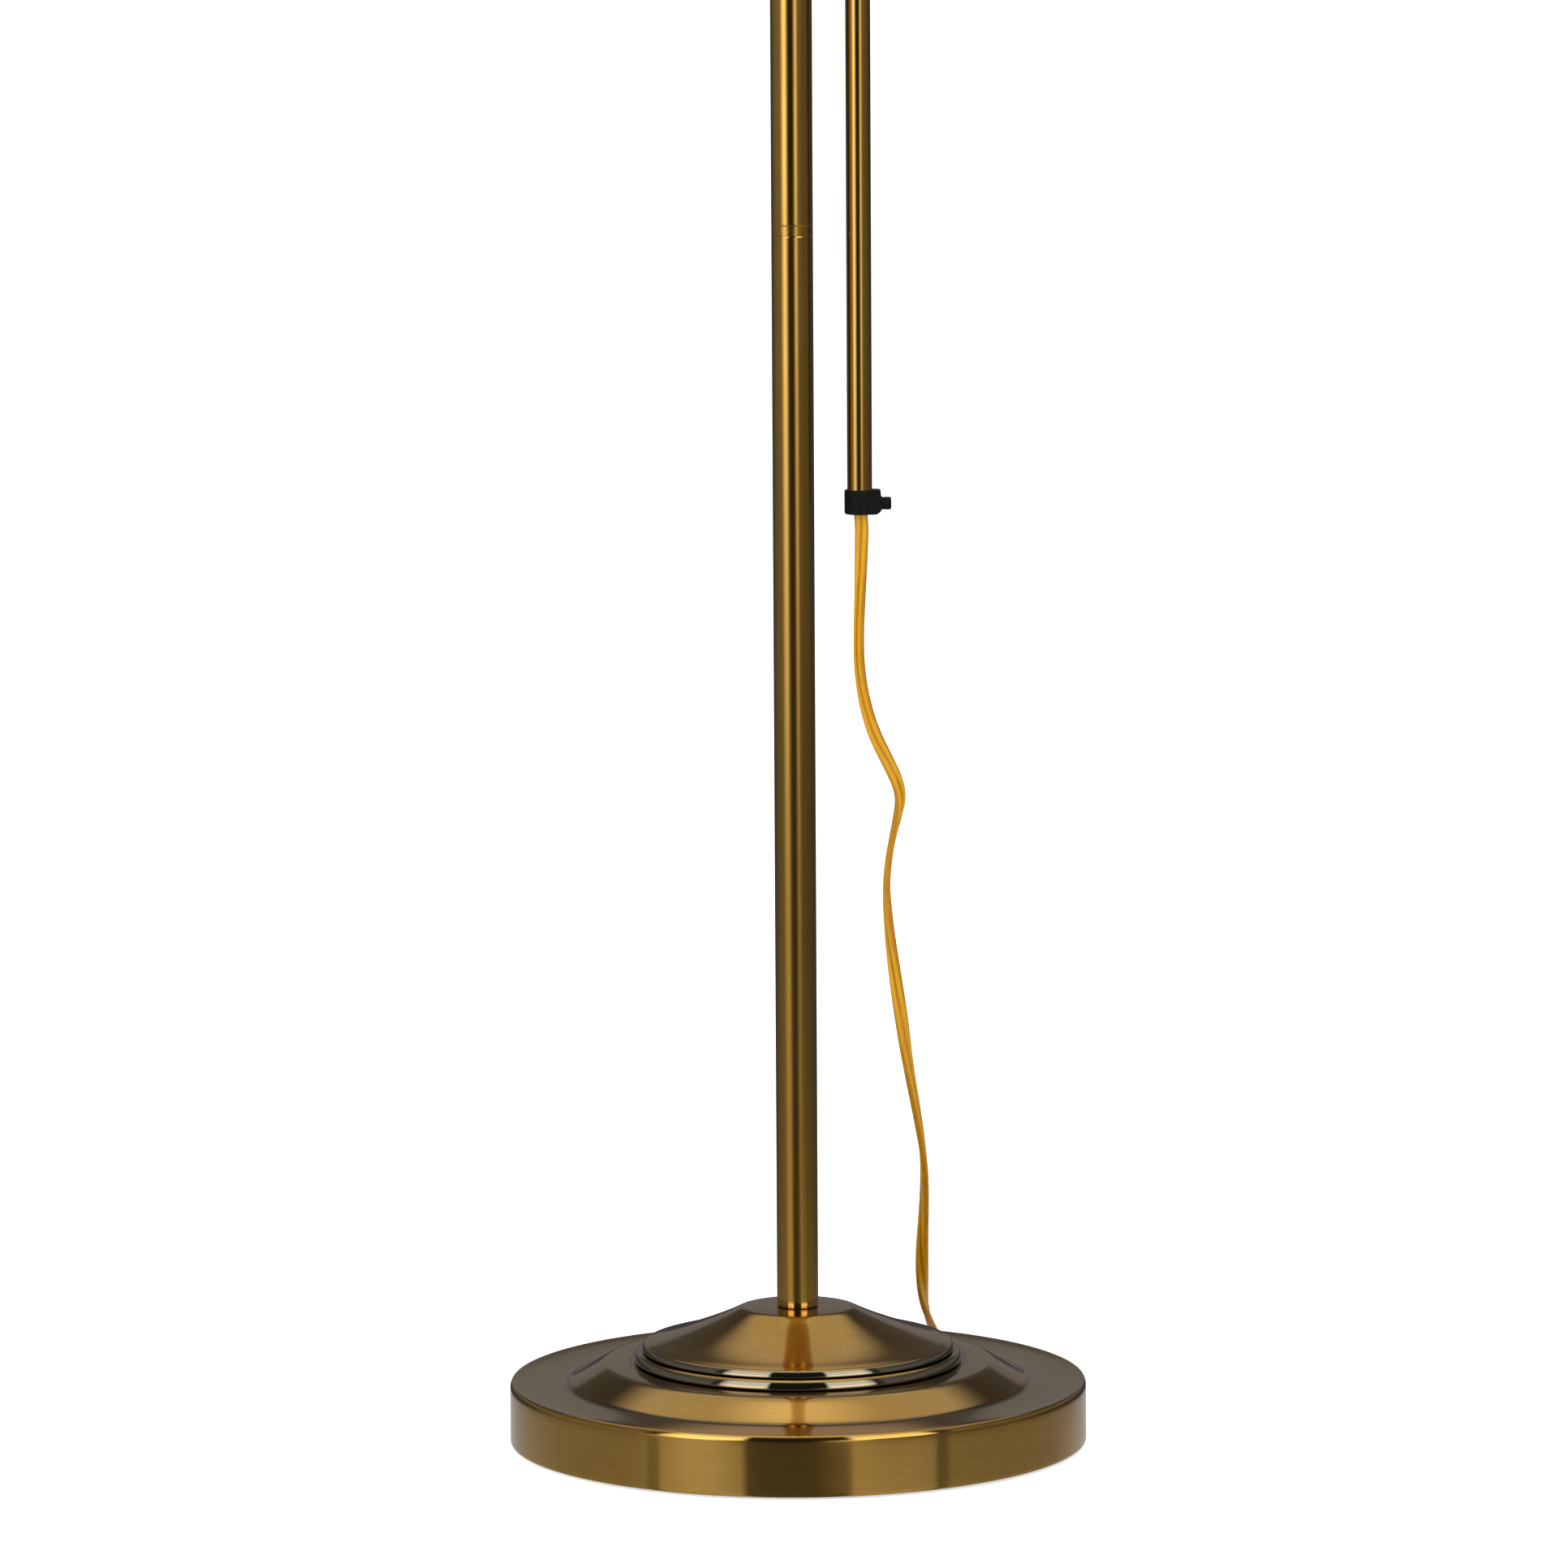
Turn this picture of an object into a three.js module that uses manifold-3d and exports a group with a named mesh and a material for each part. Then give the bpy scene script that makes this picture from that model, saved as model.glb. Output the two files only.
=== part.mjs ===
// Pharmacy floor lamp: round stepped spun base, two-section pole, a parallel rod that slides
// in a clamp block and carries a swivelling arm with a tunnel shade, and a flat twin cord
// that leaves the rod's lower end. Millimetres, +Z up, origin at the centre of the underside.
import * as THREE from "three";
import { mergeVertices } from "three/addons/utils/BufferGeometryUtils.js";
import Module from "manifold-3d";

const wasm = await Module();
wasm.setup();

// ---- driving dimensions ----
const BASE_R = 111.3; // base rim at the floor
const PLATE_Z = 23.2; // flat plate around the raised steps
const STEP_Z = 31.0; // top of the third step
const RING_R = 63.2, RING_Z0 = 31.3, RING_Z1 = 35.1; // check ring under the bell
const DOME_R = 60.0, DOME_Z0 = 35.4, DOME_Z1 = 52.0; // bell cap
const POLE_R = 7.94, POLE_BORE = 6.9; // 5/8 inch tube
const SEAM_Z0 = 464.2, SEAM_Z1 = 467.8; // coupling flange between the two pole sections
const POLE_TOP = 797.0;
const BLOCK_Z0 = 797.3, BLOCK_Z1 = 824.0;
const ROD_X = 25.2, ROD_R = 4.76, ROD_BORE = 3.7; // 3/8 inch sliding rod, one inch off the pole
const ROD_Z0 = 359.8, ROD_Z1 = 1076.0;
const COLLAR_Z0 = 358.0, COLLAR_Z1 = 367.4, COLLAR_R = 5.85, COLLAR_LOBE = 8.3;
const SCREW_Z = 362.15;
const PIVOT_Z = 1110.0; // tilt axis
const HUSK_U0 = 94, HUSK_U1 = 134, HUSK_R = 16.5; // distances u run from the tilt axis along the arm
const SHADE_U0 = 134.4, SHADE_LEN = 176, SHADE_R = 48, SHADE_SKIRT = 26, SHADE_WALL = 1.2, SHADE_ROUND = 12;
const CORD_R = 2.6;
// hank of cord behind the base
const HANK_X = 0, HANK_Y = 154, HANK_RUN = 84, HANK_TURNS = 5, HANK_PITCH = 2.9, HANK_R = 28.7, HANK_Z0 = 0.9, HANK_H = 5.2;

// ---- materials ----
const mat = (color, roughness, metalness, extra = {}) =>
  new THREE.MeshStandardMaterial({ color, roughness, metalness, ...extra });
const brass = () => mat(0x8a6d36, 0.34, 1.0);
const brassDark = () => mat(0x6e5628, 0.36, 1.0);
const black = () => mat(0x15140f, 0.5, 0.0);
const steel = () => mat(0x8d8f92, 0.4, 1.0);

const root = new THREE.Group();

// ---- helpers ----
// Position-only copy with shared vertices merged and faces turned outwards.
function closed(geometry) {
  let g = geometry.clone();
  for (const k of Object.keys(g.attributes)) if (k !== "position") g.deleteAttribute(k);
  g = mergeVertices(g, 1e-4);
  const p = g.attributes.position, ix = Array.from(g.index.array), out = [];
  let v = 0;
  const a = new THREE.Vector3(), b = new THREE.Vector3(), c = new THREE.Vector3();
  for (let i = 0; i < ix.length; i += 3) {
    const [i0, i1, i2] = [ix[i], ix[i + 1], ix[i + 2]];
    if (i0 === i1 || i1 === i2 || i2 === i0) continue;
    a.fromBufferAttribute(p, i0); b.fromBufferAttribute(p, i1); c.fromBufferAttribute(p, i2);
    v += a.dot(b.cross(c));
    out.push(i0, i1, i2);
  }
  if (v < 0) for (let i = 0; i < out.length; i += 3) [out[i + 1], out[i + 2]] = [out[i + 2], out[i + 1]];
  g.setIndex(out);
  return g;
}
const solid = (geometry) => {
  const g = closed(geometry);
  return new wasm.Manifold(new wasm.Mesh({
    numProp: 3,
    vertProperties: new Float32Array(g.attributes.position.array),
    triVerts: new Uint32Array(g.index.array),
  }));
};
function fromSolid(s) {
  const m = s.getMesh(), n = m.numProp, v = new Float32Array((m.vertProperties.length / n) * 3);
  for (let i = 0; i < v.length / 3; i++) v.set(m.vertProperties.subarray(i * n, i * n + 3), i * 3);
  return new THREE.BufferGeometry()
    .setAttribute("position", new THREE.BufferAttribute(v, 3))
    .setIndex(new THREE.BufferAttribute(new Uint32Array(m.triVerts), 1));
}
function add(name, geometry, material, parent = root) {
  const m = new THREE.Mesh(geometry.isBufferGeometry ? closed(geometry) : fromSolid(geometry), material);
  m.name = name;
  parent.add(m);
  return m;
}
// Closed profile of [radius, height] pairs turned about Z; a profile that starts and ends on the axis, or a loop.
function turned(profile, seg = 20) {
  const pts = profile.map(([r, z]) => new THREE.Vector2(r, z));
  if (profile[0][0] > 0 || profile[profile.length - 1][0] > 0) pts.push(pts[0].clone());
  return new THREE.LatheGeometry(pts, seg).rotateX(Math.PI / 2);
}
const tube = (ro, ri, z0, z1, seg = 20) => turned([[ri, z0], [ro, z0], [ro, z1], [ri, z1]], seg);
const disc = (r, z0, z1, seg = 20) => turned([[0, z0], [r, z0], [r, z1], [0, z1]], seg);
const at = (g, x, y, z) => g.translate(x, y, z);
// Turned pieces whose axis is the arm: height along Z becomes distance u along -X from the tilt axis.
const alongArm = (g) => g.rotateY(-Math.PI / 2).translate(ROD_X, 0, PIVOT_Z);
const alongX = (g, x, y, z) => g.rotateY(Math.PI / 2).translate(x, y, z);
const alongMinusY = (g, x, y, z) => g.rotateX(Math.PI / 2).translate(x, y, z);
function lobed(r, depth, lobes, bevel) {
  const s = new THREE.Shape(), n = lobes * 4;
  for (let i = 0; i < n; i++) {
    const t = (i / n) * Math.PI * 2, q = r - bevel - 0.55 + 0.55 * Math.cos(t * lobes);
    i ? s.lineTo(q * Math.cos(t), q * Math.sin(t)) : s.moveTo(q * Math.cos(t), q * Math.sin(t));
  }
  s.closePath();
  return new THREE.ExtrudeGeometry(s, { depth: depth - 2 * bevel, bevelEnabled: true, bevelThickness: bevel, bevelSize: bevel, bevelSegments: 1 }).translate(0, 0, bevel);
}

// ---- base ----
add("base_pad", disc(109.0, 0, 1.5, 44), mat(0x1d1b18, 0.95, 0));
add("base_weight", turned([[5.4, 10.0], [15, 10.0], [15, 1.8], [108.6, 1.8], [108.6, 21.3], [86, 21.3], [73, 29.2], [5.4, 29.2]], 36), mat(0x2c2b29, 0.8, 0.6));
add("base_cover", turned([
  [BASE_R, 0.6], [110.6, 19.6], [110.5, 21.0], [111.15, 22.0], [111.15, 23.6], [110.2, 24.6], [108.8, 24.6], [107.4, PLATE_Z],
  [88.2, PLATE_Z], [86.0, 24.2], [77.0, 29.8], [73.6, STEP_Z], [5.4, STEP_Z],
  [5.4, 29.7], [73.2, 29.7], [86.8, 21.9], [109.5, 21.8], [109.8, 0.6],
], 44), brass());
add("check_ring", turned([[5.4, RING_Z0], [61.6, RING_Z0], [62.8, 31.9], [RING_R, 33.2], [62.8, 34.5], [61.6, RING_Z1], [5.4, RING_Z1]], 40), brass());
add("dome_cap", turned([
  [57.6, DOME_Z0], [59.4, 35.9], [DOME_R, 37.0], [59.4, 38.1], [58.0, 38.6], [46, 42.0], [33, 46.9], [24.2, 51.0], [20.8, DOME_Z1],
  [5.4, DOME_Z1], [5.4, 50.8], [20.6, 50.8], [32.5, 45.6], [56.9, 37.4], [56.6, DOME_Z0],
], 40), brass());
add("base_nipple", tube(4.8, 3.3, 2.6, 64, 20), steel());
add("nipple_washer", tube(12.5, 5.2, 8.4, 9.7, 24), steel());
{
  const nut = new THREE.Shape();
  for (let i = 0; i < 6; i++) { const t = (i / 6) * Math.PI * 2; i ? nut.lineTo(9.2 * Math.cos(t), 9.2 * Math.sin(t)) : nut.moveTo(9.2 * Math.cos(t), 9.2 * Math.sin(t)); }
  nut.closePath();
  nut.holes.push(new THREE.Path().absarc(0, 0, 5.15, 0, Math.PI * 2, true));
  add("base_nut", at(new THREE.ExtrudeGeometry(nut, { depth: 4.8, bevelEnabled: false, curveSegments: 10 }), 0, 0, 3.3), steel());
}

// ---- pole ----
add("foot_bushing", tube(6.55, 5.15, 52.6, 66.5), brassDark());
add("lower_pole", tube(POLE_R, POLE_BORE, DOME_Z1 + 0.3, SEAM_Z0 - 0.3), brass());
add("pole_coupling", turned([[3.4, 449], [6.5, 449], [6.5, SEAM_Z0], [POLE_R + 0.06, SEAM_Z0], [POLE_R + 0.06, SEAM_Z1], [6.5, SEAM_Z1], [6.5, 483], [3.4, 483]]), brass());
add("upper_pole", tube(POLE_R, POLE_BORE, SEAM_Z1 + 0.3, POLE_TOP), brass());
add("top_bushing", tube(6.55, 5.15, 780, 796.6), brassDark());
add("top_nipple", tube(4.8, 3.3, 779, 838, 20), steel());

// ---- clamp block at the pole's top ----
{
  const r1 = 13 - 1.2, r2 = 11.6 - 1.2, al = Math.acos((r1 - r2) / ROD_X);
  const s = new THREE.Shape();
  s.absarc(0, 0, r1, al, 2 * Math.PI - al, false);
  s.absarc(ROD_X, 0, r2, -al, al, false);
  s.closePath();
  const body = solid(new THREE.ExtrudeGeometry(s, { depth: BLOCK_Z1 - BLOCK_Z0 - 2.4, bevelEnabled: true, bevelThickness: 1.2, bevelSize: 1.2, bevelSegments: 1, curveSegments: 12 }).translate(0, 0, BLOCK_Z0 + 1.2));
  const cut = body
    .subtract(solid(disc(5.15, 790, 830, 20)))
    .subtract(solid(at(disc(6.6, 790, 830, 24), ROD_X, 0, 0)))
    .subtract(solid(alongX(disc(3.1, 0, 20, 14), ROD_X + 2, 0, 812)));
  add("clamp_block", cut, brass());
}
add("rod_bush", solid(at(turned([[5.1, 797.6], [6.25, 797.6], [6.25, 824.3], [8.6, 824.3], [8.6, 826.2], [5.1, 826.2]]), ROD_X, 0, 0))
  .subtract(solid(alongX(disc(2.7, 0, 12, 14), ROD_X + 2, 0, 812))), mat(0x1a1a1a, 0.6, 0));
{
  const shaft = solid(alongX(disc(2.3, 0, 13, 14), ROD_X + 5.2, 0, 812));
  add("clamp_knob", shaft.add(solid(alongX(lobed(9, 9.5, 12, 0.9), ROD_X + 16.5, 0, 812))).add(solid(alongX(disc(4.6, 0, 4.6, 18), ROD_X + 12.3, 0, 812))), brass());
}
add("pole_finial", turned([[5.15, 824.3], [10.4, 824.3], [10.8, 825.6], [9.6, 827.2], [7.2, 829.6], [7.0, 831.4], [9.2, 834.4], [10.1, 838.4], [9.6, 842.6], [7.2, 846.8], [3.6, 849.4], [0, 850.2], [0, 839], [5.15, 839]]), brass());

// ---- sliding rod ----
add("rod", at(tube(ROD_R, ROD_BORE, ROD_Z0, ROD_Z1), ROD_X, 0, 0), brass());
{
  const ring = solid(at(turned([[0, COLLAR_Z0], [COLLAR_R - 0.7, COLLAR_Z0], [COLLAR_R, COLLAR_Z0 + 0.9], [COLLAR_R, COLLAR_Z1 - 0.3], [COLLAR_R - 0.3, COLLAR_Z1], [0, COLLAR_Z1]]), ROD_X, 0, 0));
  const lobe = new THREE.Shape();
  lobe.moveTo(0, COLLAR_Z0 + 0.25); lobe.lineTo(6.6, COLLAR_Z0 + 0.25); lobe.lineTo(COLLAR_LOBE, COLLAR_Z0 + 1.9); lobe.lineTo(COLLAR_LOBE, COLLAR_Z1 - 2.6);
  lobe.lineTo(7.9, COLLAR_Z1 - 0.2); lobe.lineTo(0, COLLAR_Z1 - 0.2); lobe.closePath();
  const block = solid(new THREE.ExtrudeGeometry(lobe, { depth: 8.6, bevelEnabled: false }).rotateX(Math.PI / 2).translate(ROD_X, 4.3, 0));
  add("rod_collar", ring.add(block)
    .subtract(solid(at(disc(5.06, ROD_Z0 - 0.3, 372, 24), ROD_X, 0, 0)))
    .subtract(solid(at(disc(2.9, 350, 363, 16), ROD_X, 0, 0)))
    .subtract(solid(alongX(disc(2.05, 0, 12, 12), ROD_X + 2, 0, SCREW_Z))), black());
  add("collar_screw", solid(alongX(disc(1.7, 0, 4.2, 12), ROD_X + 5.2, 0, SCREW_Z)).add(solid(alongX(disc(2.42, 0, 3.46, 16), ROD_X + 8.6, 0, SCREW_Z))), black());
}
add("lead_in_rod", at(disc(2.3, 360.5, 1060, 8), ROD_X, 0, 0), mat(0xc98a18, 0.4, 0));
add("swivel_stud", at(turned([[1.8, 1061.5], [3.4, 1061.5], [3.4, 1076.3], [6.2, 1076.3], [6.2, 1078.9], [3.4, 1078.9], [3.4, 1088], [1.8, 1088]]), ROD_X, 0, 0), brassDark());

// ---- swivel and fork ----
{
  const hub = solid(at(turned([[0, 1089], [3.75, 1089], [3.75, 1079.3], [8.2, 1079.3], [9.0, 1080.3], [9.0, 1090.6], [8.2, 1092.4], [0, 1093.2]]), ROD_X, 0, 0));
  const ear = () => {
    const s = new THREE.Shape();
    s.moveTo(-7.6, 1088.5); s.lineTo(7.6, 1088.5); s.lineTo(7.6, PIVOT_Z); s.absarc(0, PIVOT_Z, 7.6, 0, Math.PI, false); s.closePath();
    return new THREE.ExtrudeGeometry(s, { depth: 3.2, bevelEnabled: false, curveSegments: 12 }).rotateX(Math.PI / 2);
  };
  add("swivel_fork", hub.add(solid(ear().translate(ROD_X, 7.2, 0))).add(solid(ear().translate(ROD_X, -4.0, 0)))
    .subtract(solid(alongMinusY(disc(2.35, -12, 12, 14), ROD_X, 0, PIVOT_Z))), brass());
}
add("tilt_bolt", solid(alongMinusY(disc(2.0, -10.6, 14.5, 14), ROD_X, 0, PIVOT_Z)).add(solid(alongMinusY(disc(4.2, -10.6, -7.5, 16), ROD_X, 0, PIVOT_Z))), brassDark());
add("tilt_knob", solid(alongMinusY(lobed(9.6, 9.4, 12, 0.9), ROD_X, -9.2, PIVOT_Z)).add(solid(alongMinusY(disc(4.8, 0, 3, 18), ROD_X, -7.5, PIVOT_Z)))
  .subtract(solid(alongMinusY(disc(2.35, 0, 15.2, 14), ROD_X, 0, PIVOT_Z))), brass());

// ---- arm ----
{
  // round eye and flat bar between the ears, then a round socket for the tube
  const flat = new THREE.Shape();
  flat.absarc(0, 0, 7.6, -2.2, 2.2, false);
  flat.lineTo(-16.4, 6.2); flat.lineTo(-16.4, -6.2); flat.closePath();
  const eye = solid(new THREE.ExtrudeGeometry(flat, { depth: 7.2, bevelEnabled: false, curveSegments: 18 }).rotateX(Math.PI / 2).translate(ROD_X, 3.6, PIVOT_Z));
  const neck = solid(alongArm(turned([[0, 15.6], [5.6, 15.6], [6.4, 16.6], [6.4, 27.4], [6.0, 28], [0, 28]], 20)));
  add("arm_knuckle", eye.add(neck)
    .subtract(solid(alongMinusY(disc(2.35, -5, 5, 14), ROD_X, 0, PIVOT_Z)))
    .subtract(solid(alongArm(disc(5.06, 14.6, 34, 24)))), brass());
}
add("arm_tube", alongArm(tube(ROD_R, ROD_BORE, 15, 100)), brass());
add("lead_in_arm", alongArm(disc(2.3, 15.3, 107.8, 8)), mat(0xc98a18, 0.4, 0));
add("socket_husk", solid(alongArm(turned([[5.06, HUSK_U0], [6.4, HUSK_U0], [6.8, 97.5], [9.4, 100.6], [14.2, 104.6], [HUSK_R - 0.3, 108], [HUSK_R, 110], [HUSK_R, HUSK_U1], [15.6, HUSK_U1], [15.6, 110], [13.6, 106.3], [8.6, 102.2], [5.06, 100.6]])))
  .subtract(solid(alongMinusY(disc(2.1, 12, 20, 12), ROD_X - 122, 0, PIVOT_Z))), brass());
add("socket_body", alongArm(turned([[0, 108.4], [12.6, 108.4], [15.2, 111.2], [15.2, 150], [14.3, 150], [14.3, 116], [0, 116]])), mat(0x241d18, 0.45, 0));
add("screw_shell", alongArm(tube(14.0, 13.4, 116.3, 148)), mat(0xb8b8b4, 0.35, 1));
add("centre_contact", alongArm(disc(3.2, 116.3, 117.8, 12)), mat(0xb58a3a, 0.35, 1));
add("bulb_base", alongArm(turned([[0, 118.2], [3.4, 118.2], [4.6, 119.6], [9.6, 122.2], [13.0, 125], [13.0, 149], [0, 149]])), mat(0xb8b8b4, 0.35, 1));
add("bulb_glass", alongArm(turned([[0, 149.3], [12.4, 149.3], [13.2, 153], [15.6, 161], [15.6, 232], [14.2, 238.6], [10.6, 243.6], [5.4, 246.4], [0, 247.2]])), mat(0xf4f1e8, 0.25, 0, { transparent: true, opacity: 0.6 }));
add("shade_ring", alongArm(turned([[15.6, 136.1], [20.6, 136.1], [20.6, 139.8], [19.8, 140.6], [15.6, 140.6]])), brassDark());
add("switch_key", solid(alongMinusY(disc(1.6, 15.6, 24, 12), ROD_X - 122, 0, PIVOT_Z)).add(solid(alongMinusY(lobed(6.2, 6.4, 10, 0.7), ROD_X - 122, -20.4, PIVOT_Z))), black());

// ---- shade: tunnel with rounded ends, open below ----
{
  const half = (shrink, depth) => {
    const r = SHADE_R - SHADE_ROUND - shrink, s = new THREE.Shape();
    s.moveTo(r, -60); s.lineTo(r, 0); s.absarc(0, 0, r, 0, Math.PI, false); s.lineTo(-r, -60); s.closePath();
    return new THREE.ExtrudeGeometry(s, { depth, bevelEnabled: true, bevelThickness: SHADE_ROUND, bevelSize: SHADE_ROUND, bevelSegments: 3, curveSegments: 16 });
  };
  // extrude axis is local Z; local X becomes Y and local Y becomes Z, then the length runs along -X
  const place = (g, u0) => g.applyMatrix4(new THREE.Matrix4().makeBasis(new THREE.Vector3(0, -1, 0), new THREE.Vector3(0, 0, 1), new THREE.Vector3(-1, 0, 0))).translate(ROD_X - u0, 0, PIVOT_Z);
  const outer = solid(place(half(0, SHADE_LEN - 2 * SHADE_ROUND), SHADE_U0 + SHADE_ROUND));
  const inner = solid(place(half(SHADE_WALL, SHADE_LEN - 2 * SHADE_ROUND - 2 * SHADE_WALL), SHADE_U0 + SHADE_ROUND + SHADE_WALL));
  const below = solid(new THREE.BoxGeometry(400, 200, 120).translate(ROD_X - 200, 0, PIVOT_Z - SHADE_SKIRT - 60));
  add("shade", outer.subtract(inner).subtract(below).subtract(solid(alongArm(disc(15.7, 130, 139, 24)))), brass());
}

// ---- cord: hangs from the rod, lands behind the base, put away as a hank ----
const cordPath = [
  [25.9, 0, 357.7], [25.9, 0, 349.5], [25.5, 0, 337.1], [25.1, 0, 324.7], [24.6, 0.3, 309.2], [25.1, 0.4, 296.7], [27.5, 0.6, 283], [30.9, 0.8, 272.6],
  [35.6, 1, 262.9], [39.2, 1.2, 254.8], [40.3, 1.4, 248.8], [39.4, 1.6, 242.9], [37.6, 1.8, 235], [36, 2.2, 226.9], [35.1, 2.8, 218.6], [34.9, 3.4, 212.6],
  [35.9, 5.4, 197.3], [38.1, 8.6, 179], [40.7, 13.2, 160.3], [42.7, 18.4, 145.4], [45.1, 24.8, 130.8], [47.4, 32.2, 116.6], [48.9, 38.5, 105.7], [49.6, 46.2, 93],
  [49.3, 58, 76], [48.8, 71, 59.8], [49.2, 85.5, 43.4], [50.3, 96, 33.2], [53.2, 107, 22.8], [55.9, 113.8, 16], [58.6, 120.2, 10.4], [61.2, 126.3, 6.5],
];
{
  const curve = new THREE.CatmullRomCurve3(cordPath.map((p) => new THREE.Vector3(...p)), false, "centripetal");
  const s = new THREE.Shape();
  for (let i = 0; i < 8; i++) { const t = (i / 8) * Math.PI * 2; i ? s.lineTo(CORD_R * Math.cos(t), CORD_R * Math.sin(t)) : s.moveTo(CORD_R, 0); }
  s.closePath();
  add("cord_hanging", new THREE.ExtrudeGeometry(s, { steps: 40, bevelEnabled: false, extrudePath: curve }), mat(0xd8931c, 0.35, 0));
}
{
  const ro = HANK_R + HANK_PITCH / 2, ri = HANK_R - (HANK_TURNS - 1) * HANK_PITCH - HANK_PITCH / 2, h = HANK_RUN / 2;
  const oval = (T, r) => { const s = new T(); s.absarc(h, 0, r, -Math.PI / 2, Math.PI / 2, false); s.absarc(-h, 0, r, Math.PI / 2, 1.5 * Math.PI, false); s.closePath(); return s; };
  const s = oval(THREE.Shape, ro);
  s.holes.push(oval(THREE.Path, ri));
  add("cord_hank", at(new THREE.ExtrudeGeometry(s, { depth: HANK_H, bevelEnabled: false, curveSegments: 10 }), HANK_X, HANK_Y, HANK_Z0), mat(0xd8931c, 0.35, 0));
  // two strap ties, one round each side of the hank
  for (const [name, side] of [["hank_tie_rear", 1], ["hank_tie_front", -1]]) {
    const mid = (ro + ri) / 2, w = ro - ri + 0.6, t = 0.6, yc = HANK_Y + side * mid;
    const o = new THREE.Shape();
    o.moveTo(-w / 2 - t, 0); o.lineTo(w / 2 + t, 0); o.lineTo(w / 2 + t, HANK_Z0 + HANK_H + 0.3 + t); o.lineTo(-w / 2 - t, HANK_Z0 + HANK_H + 0.3 + t); o.closePath();
    const i = new THREE.Path();
    i.moveTo(-w / 2, t); i.lineTo(-w / 2, HANK_Z0 + HANK_H + 0.3); i.lineTo(w / 2, HANK_Z0 + HANK_H + 0.3); i.lineTo(w / 2, t); i.closePath();
    o.holes.push(i);
    const g = new THREE.ExtrudeGeometry(o, { depth: 9, bevelEnabled: false });
    // local X to Y, local Y to Z, length along X
    g.applyMatrix4(new THREE.Matrix4().makeBasis(new THREE.Vector3(0, 1, 0), new THREE.Vector3(0, 0, 1), new THREE.Vector3(1, 0, 0)));
    add(name, g.translate(HANK_X - 22 - 4.5, yc, 0), mat(0x1b1b1c, 0.7, 0));
  }
}
{
  // plug lying inside the hank, prongs towards +X: body, tapered cord neck and two flat blades
  const PX = 8, PY = HANK_Y, PZ = 6.2;
  const b = new THREE.Shape();
  b.moveTo(0, -5.4); b.lineTo(4, -8.6); b.lineTo(20, -9.4); b.lineTo(22, -8.4); b.lineTo(22, 8.4); b.lineTo(20, 9.4); b.lineTo(4, 8.6); b.lineTo(0, 5.4); b.closePath();
  const body = solid(new THREE.ExtrudeGeometry(b, { depth: 9, bevelEnabled: true, bevelThickness: 1, bevelSize: 0.8, bevelSegments: 1 }).translate(PX, PY, PZ - 4.5));
  const neck = solid(turned([[0, 0], [2.9, 0], [4.4, 18], [0, 18]], 12).rotateY(Math.PI / 2).translate(PX - 16, PY, PZ));
  add("plug_body", body.add(neck), mat(0xc98418, 0.4, 0));
  for (const [name, side, w] of [["plug_blade_wide", 1, 7.9], ["plug_blade_narrow", -1, 6.3]])
    add(name, at(new THREE.BoxGeometry(16, 1.5, w), PX + 23.1 + 8, PY + side * 6.35, PZ), mat(0xb9a26a, 0.3, 1));
}

export default root;
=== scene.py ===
import math

import bmesh
import bpy
import numpy as np
from mathutils import Matrix, Vector


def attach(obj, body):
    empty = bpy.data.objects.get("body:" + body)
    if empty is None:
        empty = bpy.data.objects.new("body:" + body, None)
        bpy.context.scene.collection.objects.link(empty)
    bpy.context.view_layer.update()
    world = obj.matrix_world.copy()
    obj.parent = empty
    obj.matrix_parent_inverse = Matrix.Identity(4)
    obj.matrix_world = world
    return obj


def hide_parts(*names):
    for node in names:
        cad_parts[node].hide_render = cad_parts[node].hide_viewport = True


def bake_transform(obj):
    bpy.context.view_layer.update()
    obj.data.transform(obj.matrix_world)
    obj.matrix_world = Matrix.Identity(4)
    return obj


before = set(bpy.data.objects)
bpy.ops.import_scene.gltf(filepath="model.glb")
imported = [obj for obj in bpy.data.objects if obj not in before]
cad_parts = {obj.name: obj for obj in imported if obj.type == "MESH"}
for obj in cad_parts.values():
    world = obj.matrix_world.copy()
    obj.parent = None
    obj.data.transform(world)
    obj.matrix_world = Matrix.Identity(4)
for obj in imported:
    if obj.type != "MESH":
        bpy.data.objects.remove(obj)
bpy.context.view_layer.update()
scene = bpy.context.scene
MM = 0.001

# ------------------------------------------------------------------ dimensions, mm, as in the CAD model
ROD_X = 25.2
PIVOT_Z = 1110.0
POLE_R, POLE_BORE = 7.94, 6.9
ROD_R, ROD_BORE = 4.76, 3.7
SEAM_Z0, SEAM_Z1 = 464.2, 467.8
POLE_TOP = 797.0
ROD_Z0, ROD_Z1 = 359.8, 1076.0
COLLAR_Z0, COLLAR_Z1, SCREW_Z = 358.0, 367.4, 362.15
HANK_Y, HANK_H, HANK_R, HANK_PITCH, HANK_TURN = 154.0, 42.0, 28.7, 2.9, 2.76

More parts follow.
